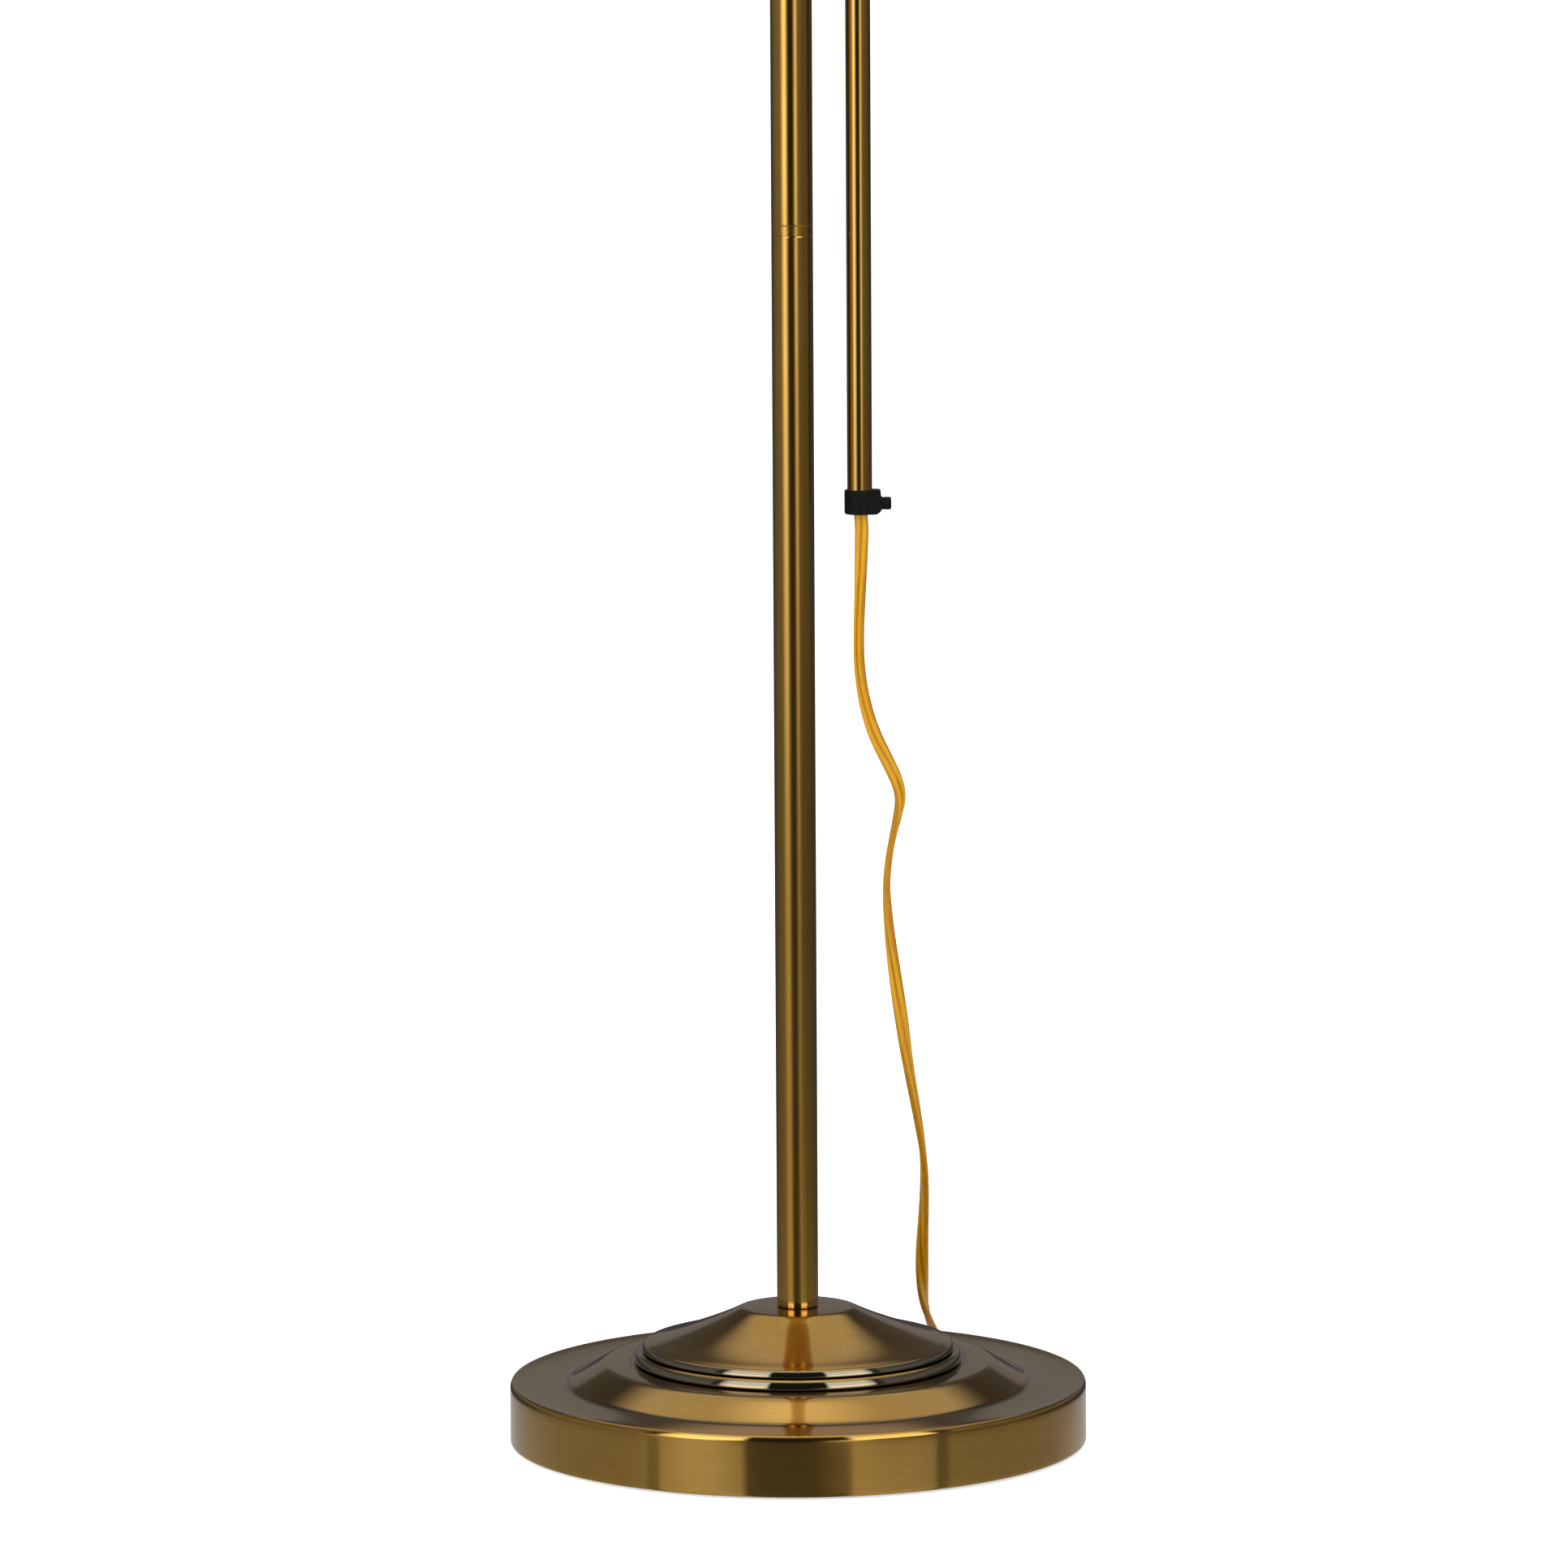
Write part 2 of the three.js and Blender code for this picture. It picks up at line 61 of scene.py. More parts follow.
# ------------------------------------------------------------------ camera
CAM, F_PX = Vector((0.011866, -3.0, 0.62366)), 9743.4
pitch, yaw, roll = math.radians(7.01256), math.radians(0.306694), math.radians(-0.31095)
c_p, s_p, c_y, s_y, c_r, s_r = math.cos(pitch), math.sin(pitch), math.cos(yaw), math.sin(yaw), math.cos(roll), math.sin(roll)
right, up = Vector((c_y, s_y, 0)), Vector((-s_y * s_p, c_y * s_p, c_p))
forward = Vector((-s_y * c_p, c_y * c_p, -s_p))
cam_x, cam_y = right * c_r + up * s_r, up * c_r - right * s_r
cam_data = bpy.data.cameras.new("camera")
cam = bpy.data.objects.new("camera", cam_data)
scene.collection.objects.link(cam)
cam.matrix_world = Matrix((
    (cam_x.x, cam_y.x, -forward.x, CAM.x),
    (cam_x.y, cam_y.y, -forward.y, CAM.y),
    (cam_x.z, cam_y.z, -forward.z, CAM.z),
    (0, 0, 0, 1),
))
cam_data.sensor_width = 36.0
cam_data.lens = F_PX / 1932 * 36.0
cam_data.clip_start, cam_data.clip_end = 0.05, 400
scene.camera = cam


# ------------------------------------------------------------------ node helpers
class Nodes:
    """Short names for building a material's nodes."""

    def __init__(self, tree):
        self.t = tree

    def new(self, kind, **props):
        n = self.t.nodes.new(kind)
        for k, v in props.items():
            setattr(n, k, v)
        return n

    def put(self, socket, value):
        if value is None:
            return
        if isinstance(value, bpy.types.NodeSocket):
            self.t.links.new(value, socket)
        else:
            socket.default_value = value

    def math(self, op, a, b=None, c=None, clamp=False):
        n = self.new("ShaderNodeMath", operation=op, use_clamp=clamp)
        for s, v in zip(n.inputs, (a, b, c)):
            self.put(s, v)
        return n.outputs[0]

    def vec(self, op, a, b=None):
        n = self.new("ShaderNodeVectorMath", operation=op)
        self.put(n.inputs[0], a)
        self.put(n.inputs[1], b)
        return n.outputs["Value"] if op in ("LENGTH", "DOT_PRODUCT", "DISTANCE") else n.outputs["Vector"]

    def split(self, v):
        n = self.new("ShaderNodeSeparateXYZ")
        self.put(n.inputs[0], v)
        return n.outputs

    def join(self, x, y, z):
        n = self.new("ShaderNodeCombineXYZ")
        for s, v in zip(n.inputs, (x, y, z)):
            self.put(s, v)
        return n.outputs[0]

    def span(self, v, a, b, c=0.0, d=1.0, smooth=False):
        n = self.new("ShaderNodeMapRange", interpolation_type="SMOOTHSTEP" if smooth else "LINEAR")
        for s, x in zip(n.inputs, (v, a, b, c, d)):
            self.put(s, x)
        return n.outputs[0]

    def noise(self, v, scale, detail=3.0, rough=0.55, distortion=0.0):
        n = self.new("ShaderNodeTexNoise")
        self.put(n.inputs["Vector"], v)
        n.inputs["Scale"].default_value = scale
        n.inputs["Detail"].default_value = detail
        n.inputs["Roughness"].default_value = rough
        n.inputs["Distortion"].default_value = distortion
        return n.outputs["Fac"]

    def voronoi(self, v, scale, feature="F1"):
        n = self.new("ShaderNodeTexVoronoi", feature=feature)
        self.put(n.inputs["Vector"], v)
        n.inputs["Scale"].default_value = scale
        return n.outputs["Distance"]

    def ramp(self, v, stops, mode="LINEAR"):
        n = self.new("ShaderNodeValToRGB")
        n.color_ramp.interpolation = mode
        e = n.color_ramp.elements
        rgba = lambda col: (col, col, col, 1) if isinstance(col, (int, float)) else (*col, 1)
        e[0].position, e[0].color = stops[0][0], rgba(stops[0][1])
        e[1].position, e[1].color = stops[-1][0], rgba(stops[-1][1])
        for pos, col in stops[1:-1]:
            e.new(pos).color = rgba(col)
        self.put(n.inputs[0], v)
        return n.outputs["Color"]

    def mix(self, f, a, b, blend="MIX"):
        n = self.new("ShaderNodeMix", data_type="RGBA", blend_type=blend)
        n.clamp_factor = True
        for s, v in ((n.inputs[0], f), (n.inputs[6], a), (n.inputs[7], b)):
            if isinstance(v, tuple) and len(v) == 3:
                v = (*v, 1)
            self.put(s, v)
        return n.outputs[2]

    def bump(self, height, strength=0.2, distance=0.0002, normal=None):
        n = self.new("ShaderNodeBump")
        n.inputs["Strength"].default_value = strength
        n.inputs["Distance"].default_value = distance
        self.put(n.inputs["Height"], height)
        self.put(n.inputs["Normal"], normal)
        return n.outputs[0]

    def here(self):
        return self.new("ShaderNodeTexCoord").outputs["Object"]


def material(name):
    m = bpy.data.materials.new(name)
    m.use_nodes = True
    m.node_tree.nodes.clear()
    k = Nodes(m.node_tree)
    out = k.new("ShaderNodeOutputMaterial")
    b = k.new("ShaderNodeBsdfPrincipled")
    m.node_tree.links.new(b.outputs[0], out.inputs["Surface"])
    return m, k, b


def setp(k, b, **values):
    for key, v in values.items():
        socket = b.inputs[key.replace("_", " ")]
        if isinstance(v, tuple) and len(v) == 3 and socket.type == "RGBA":
            v = (*v, 1)
        k.put(socket, v)


# ------------------------------------------------------------------ materials
BRASS = (0.51, 0.284, 0.046)
BRASS_WARM = (0.47, 0.246, 0.034)
POLE_TONE = ((0.48, 0.268, 0.032), (0.45, 0.238, 0.022))
COVER_TONE = ((0.51, 0.300, 0.068), (0.47, 0.262, 0.052))
BRASS_GROOVE_SHADE = (0.20, 0.118, 0.036)


def brass(name, mode="turned", centre=(0.0, 0.0), rough=0.26, aniso=0.7, coat=0.25, coat_rough=0.09, tint=1.0, shaded_grooves=(), brush=1.0, blotch=0.35, polished=(), tone=(BRASS, BRASS_WARM)):
    """Lacquered brass. mode: turned about Z, turned_x about the arm, drawn along Z, or cast."""
    m, k, b = material(name)
    p = k.here()
    x, y, z = k.split(p)
    if mode in ("turned", "drawn"):
        cx, cy = k.math("SUBTRACT", x, centre[0]), k.math("SUBTRACT", y, centre[1])
        r = k.math("SQRT", k.math("ADD", k.math("MULTIPLY", cx, cx), k.math("MULTIPLY", cy, cy)))
        ang = k.math("ARCTAN2", cy, cx)
        if mode == "turned":
            grain_v = k.join(k.math("MULTIPLY", r, 1.0), k.math("MULTIPLY", z, 1.0), k.math("MULTIPLY", ang, 0.0006))
            fine_v = k.join(r, z, k.math("MULTIPLY", ang, 0.004))
        else:
            grain_v = k.join(k.math("MULTIPLY", ang, centre[0] * 0 + 0.006), k.math("MULTIPLY", z, 0.012), r)
            fine_v = k.join(k.math("MULTIPLY", ang, 0.006), k.math("MULTIPLY", z, 0.05), r)
    elif mode == "turned_x":
        cz = k.math("SUBTRACT", z, PIVOT_Z * MM)
        r = k.math("SQRT", k.math("ADD", k.math("MULTIPLY", y, y), k.math("MULTIPLY", cz, cz)))
        ang = k.math("ARCTAN2", cz, y)
        grain_v = k.join(r, x, k.math("MULTIPLY", ang, 0.0006))
        fine_v = k.join(r, x, k.math("MULTIPLY", ang, 0.004))
    elif mode == "shade":
        grain_v = k.join(k.math("MULTIPLY", x, 0.02), y, z)
        fine_v = k.join(k.math("MULTIPLY", x, 0.05), y, z)
    else:
        grain_v = fine_v = p
    grain = k.noise(grain_v, 2600.0, 4.0, 0.6)
    fine = k.noise(fine_v, 900.0, 3.0, 0.6)
    cloud = k.noise(p, 34.0, 5.0, 0.6)
    patches = k.noise(p, 9.0, 3.0, 0.5)
    # colour: a warm and a paler brass in slow patches, with brushing streaks and a little tarnish
    base = k.mix(k.span(patches, 0.35, 0.65), tuple(c * tint for c in tone[0]), tuple(c * tint for c in tone[1]))
    base = k.mix(k.math("MULTIPLY", k.span(cloud, 0.42, 0.75), blotch), base, tuple(c * tint * 0.78 for c in tone[1]))
    base = k.mix(k.math("MULTIPLY", k.span(grain, 0.35, 0.7), 0.30 * brush), base, tuple(c * tint * 0.7 for c in tone[0]))
    base = k.mix(k.math("MULTIPLY", k.span(fine, 0.52, 0.75), 0.22 * brush), base, tuple(min(1, c * tint * 1.18) for c in tone[0]))
    for kind, at, width, depth in shaded_grooves:  # painted shade: darker brass along each groove and joint, patchy with the cloud noise
        d = k.math("ABSOLUTE", k.math("SUBTRACT", {"r": r, "z": z}[kind], at * MM))
        dark = k.math("MULTIPLY", k.span(d, width * MM, 0.0, 0.0, 1.0, smooth=True), k.math("ADD", depth, k.math("MULTIPLY", k.math("SUBTRACT", cloud, 0.5), 0.6)), clamp=True)
        base = k.mix(dark, base, tuple(c * 0.55 for c in BRASS_GROOVE_SHADE))
    rr = k.math("ADD", k.span(grain, 0.3, 0.7, rough * 0.88, rough * 1.14), k.span(cloud, 0.3, 0.75, -0.01, 0.03))
    gloss = None
    for r0, r1, z0, z1 in polished:  # rolled edges, buffed brighter than the brushed faces
        inside = k.math("MULTIPLY", k.math("MULTIPLY", k.span(r, (r0 - 0.3) * MM, r0 * MM), k.span(r, (r1 + 0.3) * MM, r1 * MM)),
                        k.math("MULTIPLY", k.span(z, (z0 - 0.3) * MM, z0 * MM), k.span(z, (z1 + 0.3) * MM, z1 * MM)))
        gloss = inside if gloss is None else k.math("MAXIMUM", gloss, inside)
    if gloss is not None:
        rr = k.math("MULTIPLY", rr, k.span(gloss, 0.0, 1.0, 1.0, 0.45))
        base = k.mix(k.math("MULTIPLY", gloss, 0.9), base, (0.21, 0.195, 0.145))
    height = k.math("ADD", k.math("MULTIPLY", grain, 0.7 * brush), k.math("MULTIPLY", k.noise(p, 260.0, 4.0, 0.6), 0.12))
    setp(k, b, Base_Color=base, Metallic=1.0, Roughness=rr, Coat_Weight=coat, Coat_Roughness=coat_rough, Coat_IOR=1.5, Normal=k.bump(height, 0.025, 0.00005))
    if aniso and mode in ("turned", "turned_x", "drawn"):
        b.inputs["Anisotropic"].default_value = aniso
        b.inputs["Anisotropic Rotation"].default_value = 0.25 if mode != "drawn" else 0.0
        tan = k.new("ShaderNodeTangent", direction_type="RADIAL", axis="X" if mode == "turned_x" else "Z")
        k.put(b.inputs["Tangent"], tan.outputs[0])
    return m


def plastic(name, colour, rough=0.4, fleck=None, fleck_scale=60.0, bump=0.15, bump_scale=900.0, coat=0.0, spec=0.5, **extra):
    """Moulded or painted surface: slow colour drift, fine texture, uneven gloss."""
    m, k, b = material(name)
    p = k.here()
    slow, mid, fine = k.noise(p, 18.0, 4.0), k.noise(p, fleck_scale, 5.0, 0.65), k.noise(p, bump_scale, 3.0)
    base = k.mix(k.span(slow, 0.35, 0.7), colour, tuple(c * 0.8 for c in colour))
    for i, f in enumerate(fleck or ()):
        base = k.mix(k.span(k.noise(p, fleck_scale * (1.7 + i), 4.0, 0.6, 0.4), 0.53, 0.66), base, f)
    setp(k, b, Base_Color=base, Roughness=k.span(mid, 0.3, 0.7, rough * 0.82, min(1, rough * 1.2)), Specular_IOR_Level=spec,
         Normal=k.bump(k.math("ADD", fine, k.math("MULTIPLY", mid, 0.4)), bump, 0.00012), Coat_Weight=coat, Coat_Roughness=0.15)
    for key, v in extra.items():
        setp(k, b, **{key: v})
    return m


M = {}
BASE_LOOK = dict(rough=0.09, aniso=0.92, coat=0.22, coat_rough=0.05, brush=1.5)
# painted shade darkens the plate's valley and the crease at the foot of the check ring; on the cap it darkens the
# crease under the dome's lip and the dome's top shoulder
M["base"] = brass("base_brass", "turned", shaded_grooves=(("r", 88.6, 1.6, 0.75), ("r", 64.4, 1.4, 0.85)), tone=COVER_TONE, **BASE_LOOK)
M["cap"] = brass("cap_brass", "turned", shaded_grooves=(("z", 35.3, 0.4, 0.8), ("r", 21.4, 0.9, 0.4)),
                 polished=((62.3, 64.0, 31.0, 34.4), (59.35, 60.4, 35.2, 37.9)), **BASE_LOOK)
M["pole"] = brass("pole_brass", "drawn", rough=0.125, aniso=0.35, coat=0.85, coat_rough=0.05, brush=0.6, blotch=0.3,
                  # painted shade darkens the pole where it enters the dome
                  shaded_grooves=(("z", 52.6, 0.8, 0.5),), tone=POLE_TONE)
M["coupling"] = brass("coupling_brass", "drawn", rough=0.17, aniso=0.35, coat=0.7, brush=0.6, tone=POLE_TONE)
M["rod"] = brass("rod_brass", "drawn", centre=(ROD_X * MM, 0.0), rough=0.12, aniso=0.3, coat=0.85, coat_rough=0.05, brush=0.5, blotch=0.25, tone=POLE_TONE)
M["fitting"] = brass("fitting_brass", "cast", rough=0.24, aniso=0, coat=0.22, brush=0.5, tone=COVER_TONE)
# painted shade darkens the finial's neck groove
M["finial"] = brass("finial_brass", "turned", rough=0.17, aniso=0.4, coat=0.22, brush=0.6, shaded_grooves=(("z", 830.6, 1.3, 0.5),), tone=COVER_TONE)
M["arm"] = brass("arm_brass", "turned_x", rough=0.16, aniso=0.4, coat=0.2, brush=0.6, tone=COVER_TONE)
M["shade"] = brass("shade_brass", "shade", rough=0.22, aniso=0, coat=0.25, brush=1.0, tone=COVER_TONE)
M["dark"] = brass("dark_brass", "cast", rough=0.34, aniso=0, coat=0.05, tint=0.7, brush=0.7)
M["collar"] = plastic("collar_black", (0.0045, 0.0050, 0.0045), rough=0.55, fleck=((0.003, 0.008, 0.004), (0.010, 0.005, 0.009)), fleck_scale=150.0, bump=0.35, bump_scale=1400.0, spec=0.08)
M["screw"] = plastic("screw_black", (0.005, 0.005, 0.005), rough=0.5, fleck=((0.012, 0.010, 0.008),), fleck_scale=300.0, bump=0.2, spec=0.08)
M["knob"] = plastic("knob_black", (0.013, 0.0125, 0.012), rough=0.33, fleck=((0.02, 0.018, 0.016),), fleck_scale=220.0, bump=0.12)
M["nylon"] = plastic("nylon_black", (0.014, 0.014, 0.014), rough=0.5, bump=0.1)
M["iron"] = plastic("cast_iron", (0.028, 0.027, 0.026), rough=0.75, fleck=((0.06, 0.035, 0.02),), fleck_scale=90.0, bump=0.8, bump_scale=420.0)
M["phenolic"] = plastic("phenolic", (0.018, 0.012, 0.009), rough=0.38, fleck=((0.03, 0.02, 0.013),), fleck_scale=240.0, bump=0.08)
M["enamel"] = plastic("white_enamel", (0.80, 0.79, 0.75), rough=0.30, bump=0.12, bump_scale=520.0, coat=0.3)
M["plug"] = plastic("amber_plug", (0.80, 0.30, 0.010), rough=0.34, fleck=((0.66, 0.23, 0.008),), fleck_scale=120.0, bump=0.12, Subsurface_Weight=0.15, Subsurface_Scale=0.002)


def metal(name, colour, rough, scale=900.0, stretch=(1, 1, 1), spots=None):
    m, k, b = material(name)
    p = k.here()
    g = k.noise(k.vec("MULTIPLY", p, stretch), scale, 4.0, 0.6)
    c = k.noise(p, 40.0, 4.0, 0.6)
    base = k.mix(k.span(c, 0.35, 0.7), colour, tuple(v * 0.78 for v in colour))
    if spots:
        base = k.mix(k.span(k.noise(p, 130.0, 5.0, 0.65), 0.58, 0.7), base, spots)
    setp(k, b, Base_Color=base, Metallic=1.0, Roughness=k.span(g, 0.3, 0.7, rough * 0.8, rough * 1.25), Normal=k.bump(g, 0.12, 0.00008))
    return m


M["steel"] = metal("zinc_steel", (0.50, 0.50, 0.49), 0.36, spots=(0.33, 0.31, 0.27))
M["thread"] = metal("aluminium_thread", (0.72, 0.72, 0.71), 0.28, stretch=(8, 1, 1))
M["blade"] = metal("blade_brass", (0.62, 0.47, 0.22), 0.26, stretch=(0.1, 1, 1))


def felt():
    m, k, b = material("felt")
    p = k.here()
    fibre = k.noise(k.vec("MULTIPLY", p, (1, 3, 1)), 1300.0, 5.0, 0.7, 1.2)
    cloud = k.noise(p, 50.0, 4.0)
    base = k.mix(fibre, (0.010, 0.009, 0.008), (0.035, 0.032, 0.028))
    base = k.mix(k.span(cloud, 0.4, 0.7, 0, 0.5), base, (0.02, 0.018, 0.014))
    setp(k, b, Base_Color=base, Roughness=0.95, Sheen_Weight=0.35, Sheen_Roughness=0.4, Specular_IOR_Level=0.15, Normal=k.bump(fibre, 0.7, 0.0004))
    return m


M["felt"] = felt()


def strap():
    m, k, b = material("tie_strap")
    p = k.here()
    x, y, z = k.split(p)
    weave = k.math("MULTIPLY", k.math("SINE", k.math("MULTIPLY", x, 9000.0)), k.math("SINE", k.math("MULTIPLY", k.math("ADD", y, z), 9000.0)))
    fuzz = k.noise(p, 1500.0, 4.0, 0.7)
    base = k.mix(k.span(weave, -1, 1), (0.010, 0.010, 0.011), (0.028, 0.028, 0.030))
    setp(k, b, Base_Color=base, Roughness=0.85, Sheen_Weight=0.25, Specular_IOR_Level=0.2, Normal=k.bump(k.math("ADD", k.math("MULTIPLY", weave, 0.5), fuzz), 0.5, 0.0002))
    return m


M["tie"] = strap()


def cord_vinyl():
    """Amber vinyl: painted shade makes it deep orange in the web and at the edges, and a painted highlight makes it
    paler along the crowns of the two cores, where the wires also show through.
    """
    m, k, b = material("amber_cord")
    crown_light = k.new("ShaderNodeAttribute", attribute_name="crown_light").outputs["Fac"]
    p = k.here()
    streak = k.noise(k.vec("MULTIPLY", p, (1, 1, 0.12)), 700.0, 4.0, 0.6)
    slow = k.noise(p, 55.0, 4.0, 0.6)
    # painted light: deep orange shade in the web and at the edges, paler highlight on the core crowns
    base = k.mix(crown_light, (0.22, 0.066, 0.0002), (0.60, 0.300, 0.0006))
    base = k.mix(k.span(slow, 0.40, 0.72, 0, 0.45), base, (0.46, 0.195, 0.0004))
    base = k.mix(k.span(streak, 0.50, 0.72, 0, 0.25), base, (0.74, 0.40, 0.002))
    setp(k, b, Base_Color=base, Roughness=k.span(streak, 0.3, 0.7, 0.26, 0.36), Subsurface_Weight=0.10, Subsurface_Scale=0.0008,
         Specular_IOR_Level=0.3, Coat_Weight=0.06, Coat_Roughness=0.12, Normal=k.bump(k.math("ADD", streak, k.math("MULTIPLY", slow, 0.6)), 0.14, 0.0001))
    b.inputs["Subsurface Radius"].default_value = (1.0, 0.35, 0.05)
    return m


M["cord"] = cord_vinyl()


def frosted_glass():
    m, k, b = material("bulb_frosted")
    p = k.here()
    mottle = k.noise(p, 300.0, 4.0, 0.6)
    base = k.mix(mottle, (0.90, 0.89, 0.86), (0.97, 0.965, 0.95))
    setp(k, b, Base_Color=base, Roughness=k.span(mottle, 0.3, 0.7, 0.30, 0.44), Transmission_Weight=0.55, IOR=1.45, Subsurface_Weight=0.0, Coat_Weight=0.35, Coat_Roughness=0.04,
         Normal=k.bump(mottle, 0.1, 0.0001))
    return m


M["glass"] = frosted_glass()


# ------------------------------------------------------------------ mesh helpers
def obj_from(name, verts, faces, mats, smooth_angle=38.0, face_mats=None):
    me = bpy.data.meshes.new(name)
    me.from_pydata([tuple(c * MM for c in v) for v in verts], [], faces)
    me.validate()
    bm = bmesh.new()
    bm.from_mesh(me)
    if face_mats is None:
        bmesh.ops.remove_doubles(bm, verts=bm.verts, dist=1e-7)
    bmesh.ops.recalc_face_normals(bm, faces=bm.faces)
    bm.to_mesh(me)
    bm.free()
    o = bpy.data.objects.new(name, me)
    scene.collection.objects.link(o)
    for mm in mats if isinstance(mats, (list, tuple)) else [mats]:
        me.materials.append(mm)
    if face_mats is not None:
        for pl, fm in zip(me.polygons, face_mats):
            pl.material_index = fm
    smooth(o, smooth_angle)
    return o


def smooth(o, angle=38.0):
    me = o.data
    for pl in me.polygons:
        pl.use_smooth = True
    me.set_sharp_from_angle(angle=math.radians(angle))


def arc(cx, cz, r, a0, a1, n=8):
    return [(cx + r * math.cos(math.radians(a0 + (a1 - a0) * i / n)), cz + r * math.sin(math.radians(a0 + (a1 - a0) * i / n))) for i in range(n + 1)]


def fillet(points, n=5):
    """A closed loop of (r, z) or (r, z, radius): corners with a radius become arcs."""
    out, m = [], len(points)
    for i, p in enumerate(points):
        rad = p[2] if len(p) > 2 else 0
        if not rad:
            out.append((p[0], p[1]))
            continue
        a, b, c = Vector(points[i - 1][:2]), Vector(p[:2]), Vector(points[(i + 1) % m][:2])
        u, v = (a - b).normalized(), (c - b).normalized()
        half = math.acos(max(-1, min(1, u.dot(v)))) / 2
        cut = min(rad / math.tan(half), 0.48 * (a - b).length, 0.48 * (c - b).length)
        rr = cut * math.tan(half)
        centre = b + (u + v).normalized() * (rr / math.sin(half))
        s, e = b + u * cut - centre, b + v * cut - centre
        a0, turn = math.atan2(s.y, s.x), 0
        turn = math.atan2(e.y, e.x) - a0
        turn = (turn + math.pi) % (2 * math.pi) - math.pi
        for j in range(n + 1):
            t = a0 + turn * j / n
            out.append((centre.x + rr * math.cos(t), centre.y + rr * math.sin(t)))
    return out


def spline(points, n=6):
    """Catmull-Rom through points, n samples a span."""
    out, q = [], [Vector(p) for p in points]
    q = [q[0] * 2 - q[1], *q, q[-1] * 2 - q[-2]]
    for i in range(1, len(q) - 2):
        p0, p1, p2, p3 = q[i - 1 : i + 3]
        for j in range(n):
            t = j / n
            out.append(tuple(0.5 * ((2 * p1) + (p2 - p0) * t + (2 * p0 - 5 * p1 + 4 * p2 - p3) * t * t + (3 * p1 - p0 - 3 * p2 + p3) * t**3)))
    out.append(tuple(q[-2]))
    return out


def lathe_geo(profile, seg=96, warp=None):
    """Rings of a closed profile turned about Z. Points on the axis make one vertex. warp(r, z, angle) -> r."""
    verts, rows = [], []
    for r, z in profile:
        if r < 1e-6:
            rows.append([len(verts)] * seg)
            verts.append((0, 0, z))
        else:
            row = []
            for i in range(seg):
                t = 2 * math.pi * i / seg
                q = warp(r, z, t) if warp else r
                row.append(len(verts))
                verts.append((q * math.cos(t), q * math.sin(t), z))
            rows.append(row)
    faces, n = [], len(rows)
    for a in range(n):
        p, q = rows[a], rows[(a + 1) % n]
        if p[0] == p[-1] and q[0] == q[-1]:
            continue
        for i in range(seg):
            j = (i + 1) % seg
            f = [p[i], p[j], q[j], q[i]]
            f = [v for c, v in enumerate(f) if v not in f[:c]]
            if len(f) > 2:
                faces.append(tuple(f))
    return verts, faces


def place_z(verts, x=0, y=0, z=0):
    return [(v[0] + x, v[1] + y, v[2] + z) for v in verts]


def place_arm(verts):
    """Local Z becomes distance from the tilt axis, along -X."""
    return [(ROD_X - v[2], v[1], PIVOT_Z + v[0]) for v in verts]


def place_x(verts, x, y, z):
    return [(x + v[2], y + v[1], z - v[0]) for v in verts]


def place_my(verts, x, y, z):
    return [(x + v[0], y - v[2], z + v[1]) for v in verts]


def lathe(name, profile, mat, seg=96, place=place_z, args=(), warp=None, angle=38.0):
    v, f = lathe_geo(profile, seg, warp)
    return obj_from(name, place(v, *args), f, mat, angle)


def outline_geo(outline, z0, z1, bevel=0.0, steps=3, centre=None):
    """A convex-ish outline extruded from z0 to z1 with rounded edges; ends are closed by one n-gon."""
    n = len(outline)
    pts = [Vector(p) for p in outline]
    normals = []
    for i in range(n):
        a, c = pts[i - 1], pts[(i + 1) % n]
        t = (c - a).normalized()
        normals.append(Vector((t.y, -t.x)))
    area = sum(pts[i - 1].x * pts[i].y - pts[i].x * pts[i - 1].y for i in range(n))
    if area < 0:
        normals = [-v for v in normals]
    low = [(z0 + bevel * (1 - math.cos(math.pi / 2 * i / steps)), bevel * (1 - math.sin(math.pi / 2 * i / steps))) for i in range(steps + 1)] if bevel else [(z0, 0)]
    high = [(z1 - (z - z0), inset) for z, inset in low][::-1]
    verts, rows = [], []
    for z, inset in low + high:
        rows.append(list(range(len(verts), len(verts) + n)))
        verts += [(p.x - q.x * inset, p.y - q.y * inset, z) for p, q in zip(pts, normals)]
    faces = [tuple(rows[0][::-1]), tuple(rows[-1])]
    for a, b in zip(rows, rows[1:]):
        faces += [(a[i], a[(i + 1) % n], b[(i + 1) % n], b[i]) for i in range(n)]
    return verts, faces


def merge(*geos):
    verts, faces = [], []
    for v, f in geos:
        k = len(verts)
        verts += list(v)
        faces += [tuple(i + k for i in q) for q in f]
    return verts, faces


def cut(o, *cutters):
    """Subtracts solids, given as (verts, faces) in mm, from o."""
    for v, f in cutters:
        c = obj_from("cutter", v, f, o.data.materials[0])
        mod = o.modifiers.new("cut", "BOOLEAN")
        mod.operation, mod.solver, mod.object = "DIFFERENCE", "EXACT", c
        dg = bpy.context.evaluated_depsgraph_get()
        me = bpy.data.meshes.new_from_object(o.evaluated_get(dg))
        o.modifiers.clear()
        old = o.data
        o.data = me
        bpy.data.meshes.remove(old)
        cm = c.data
        bpy.data.objects.remove(c)
        bpy.data.meshes.remove(cm)
    smooth(o, 32)
    return o


def rod_geo(r, z0, z1, seg=32):
    return lathe_geo([(0, z0), (r, z0), (r, z1), (0, z1)], seg)


def seat(o, body, slot, *nodes):
    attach(o, body)
    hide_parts(*nodes)
    return o


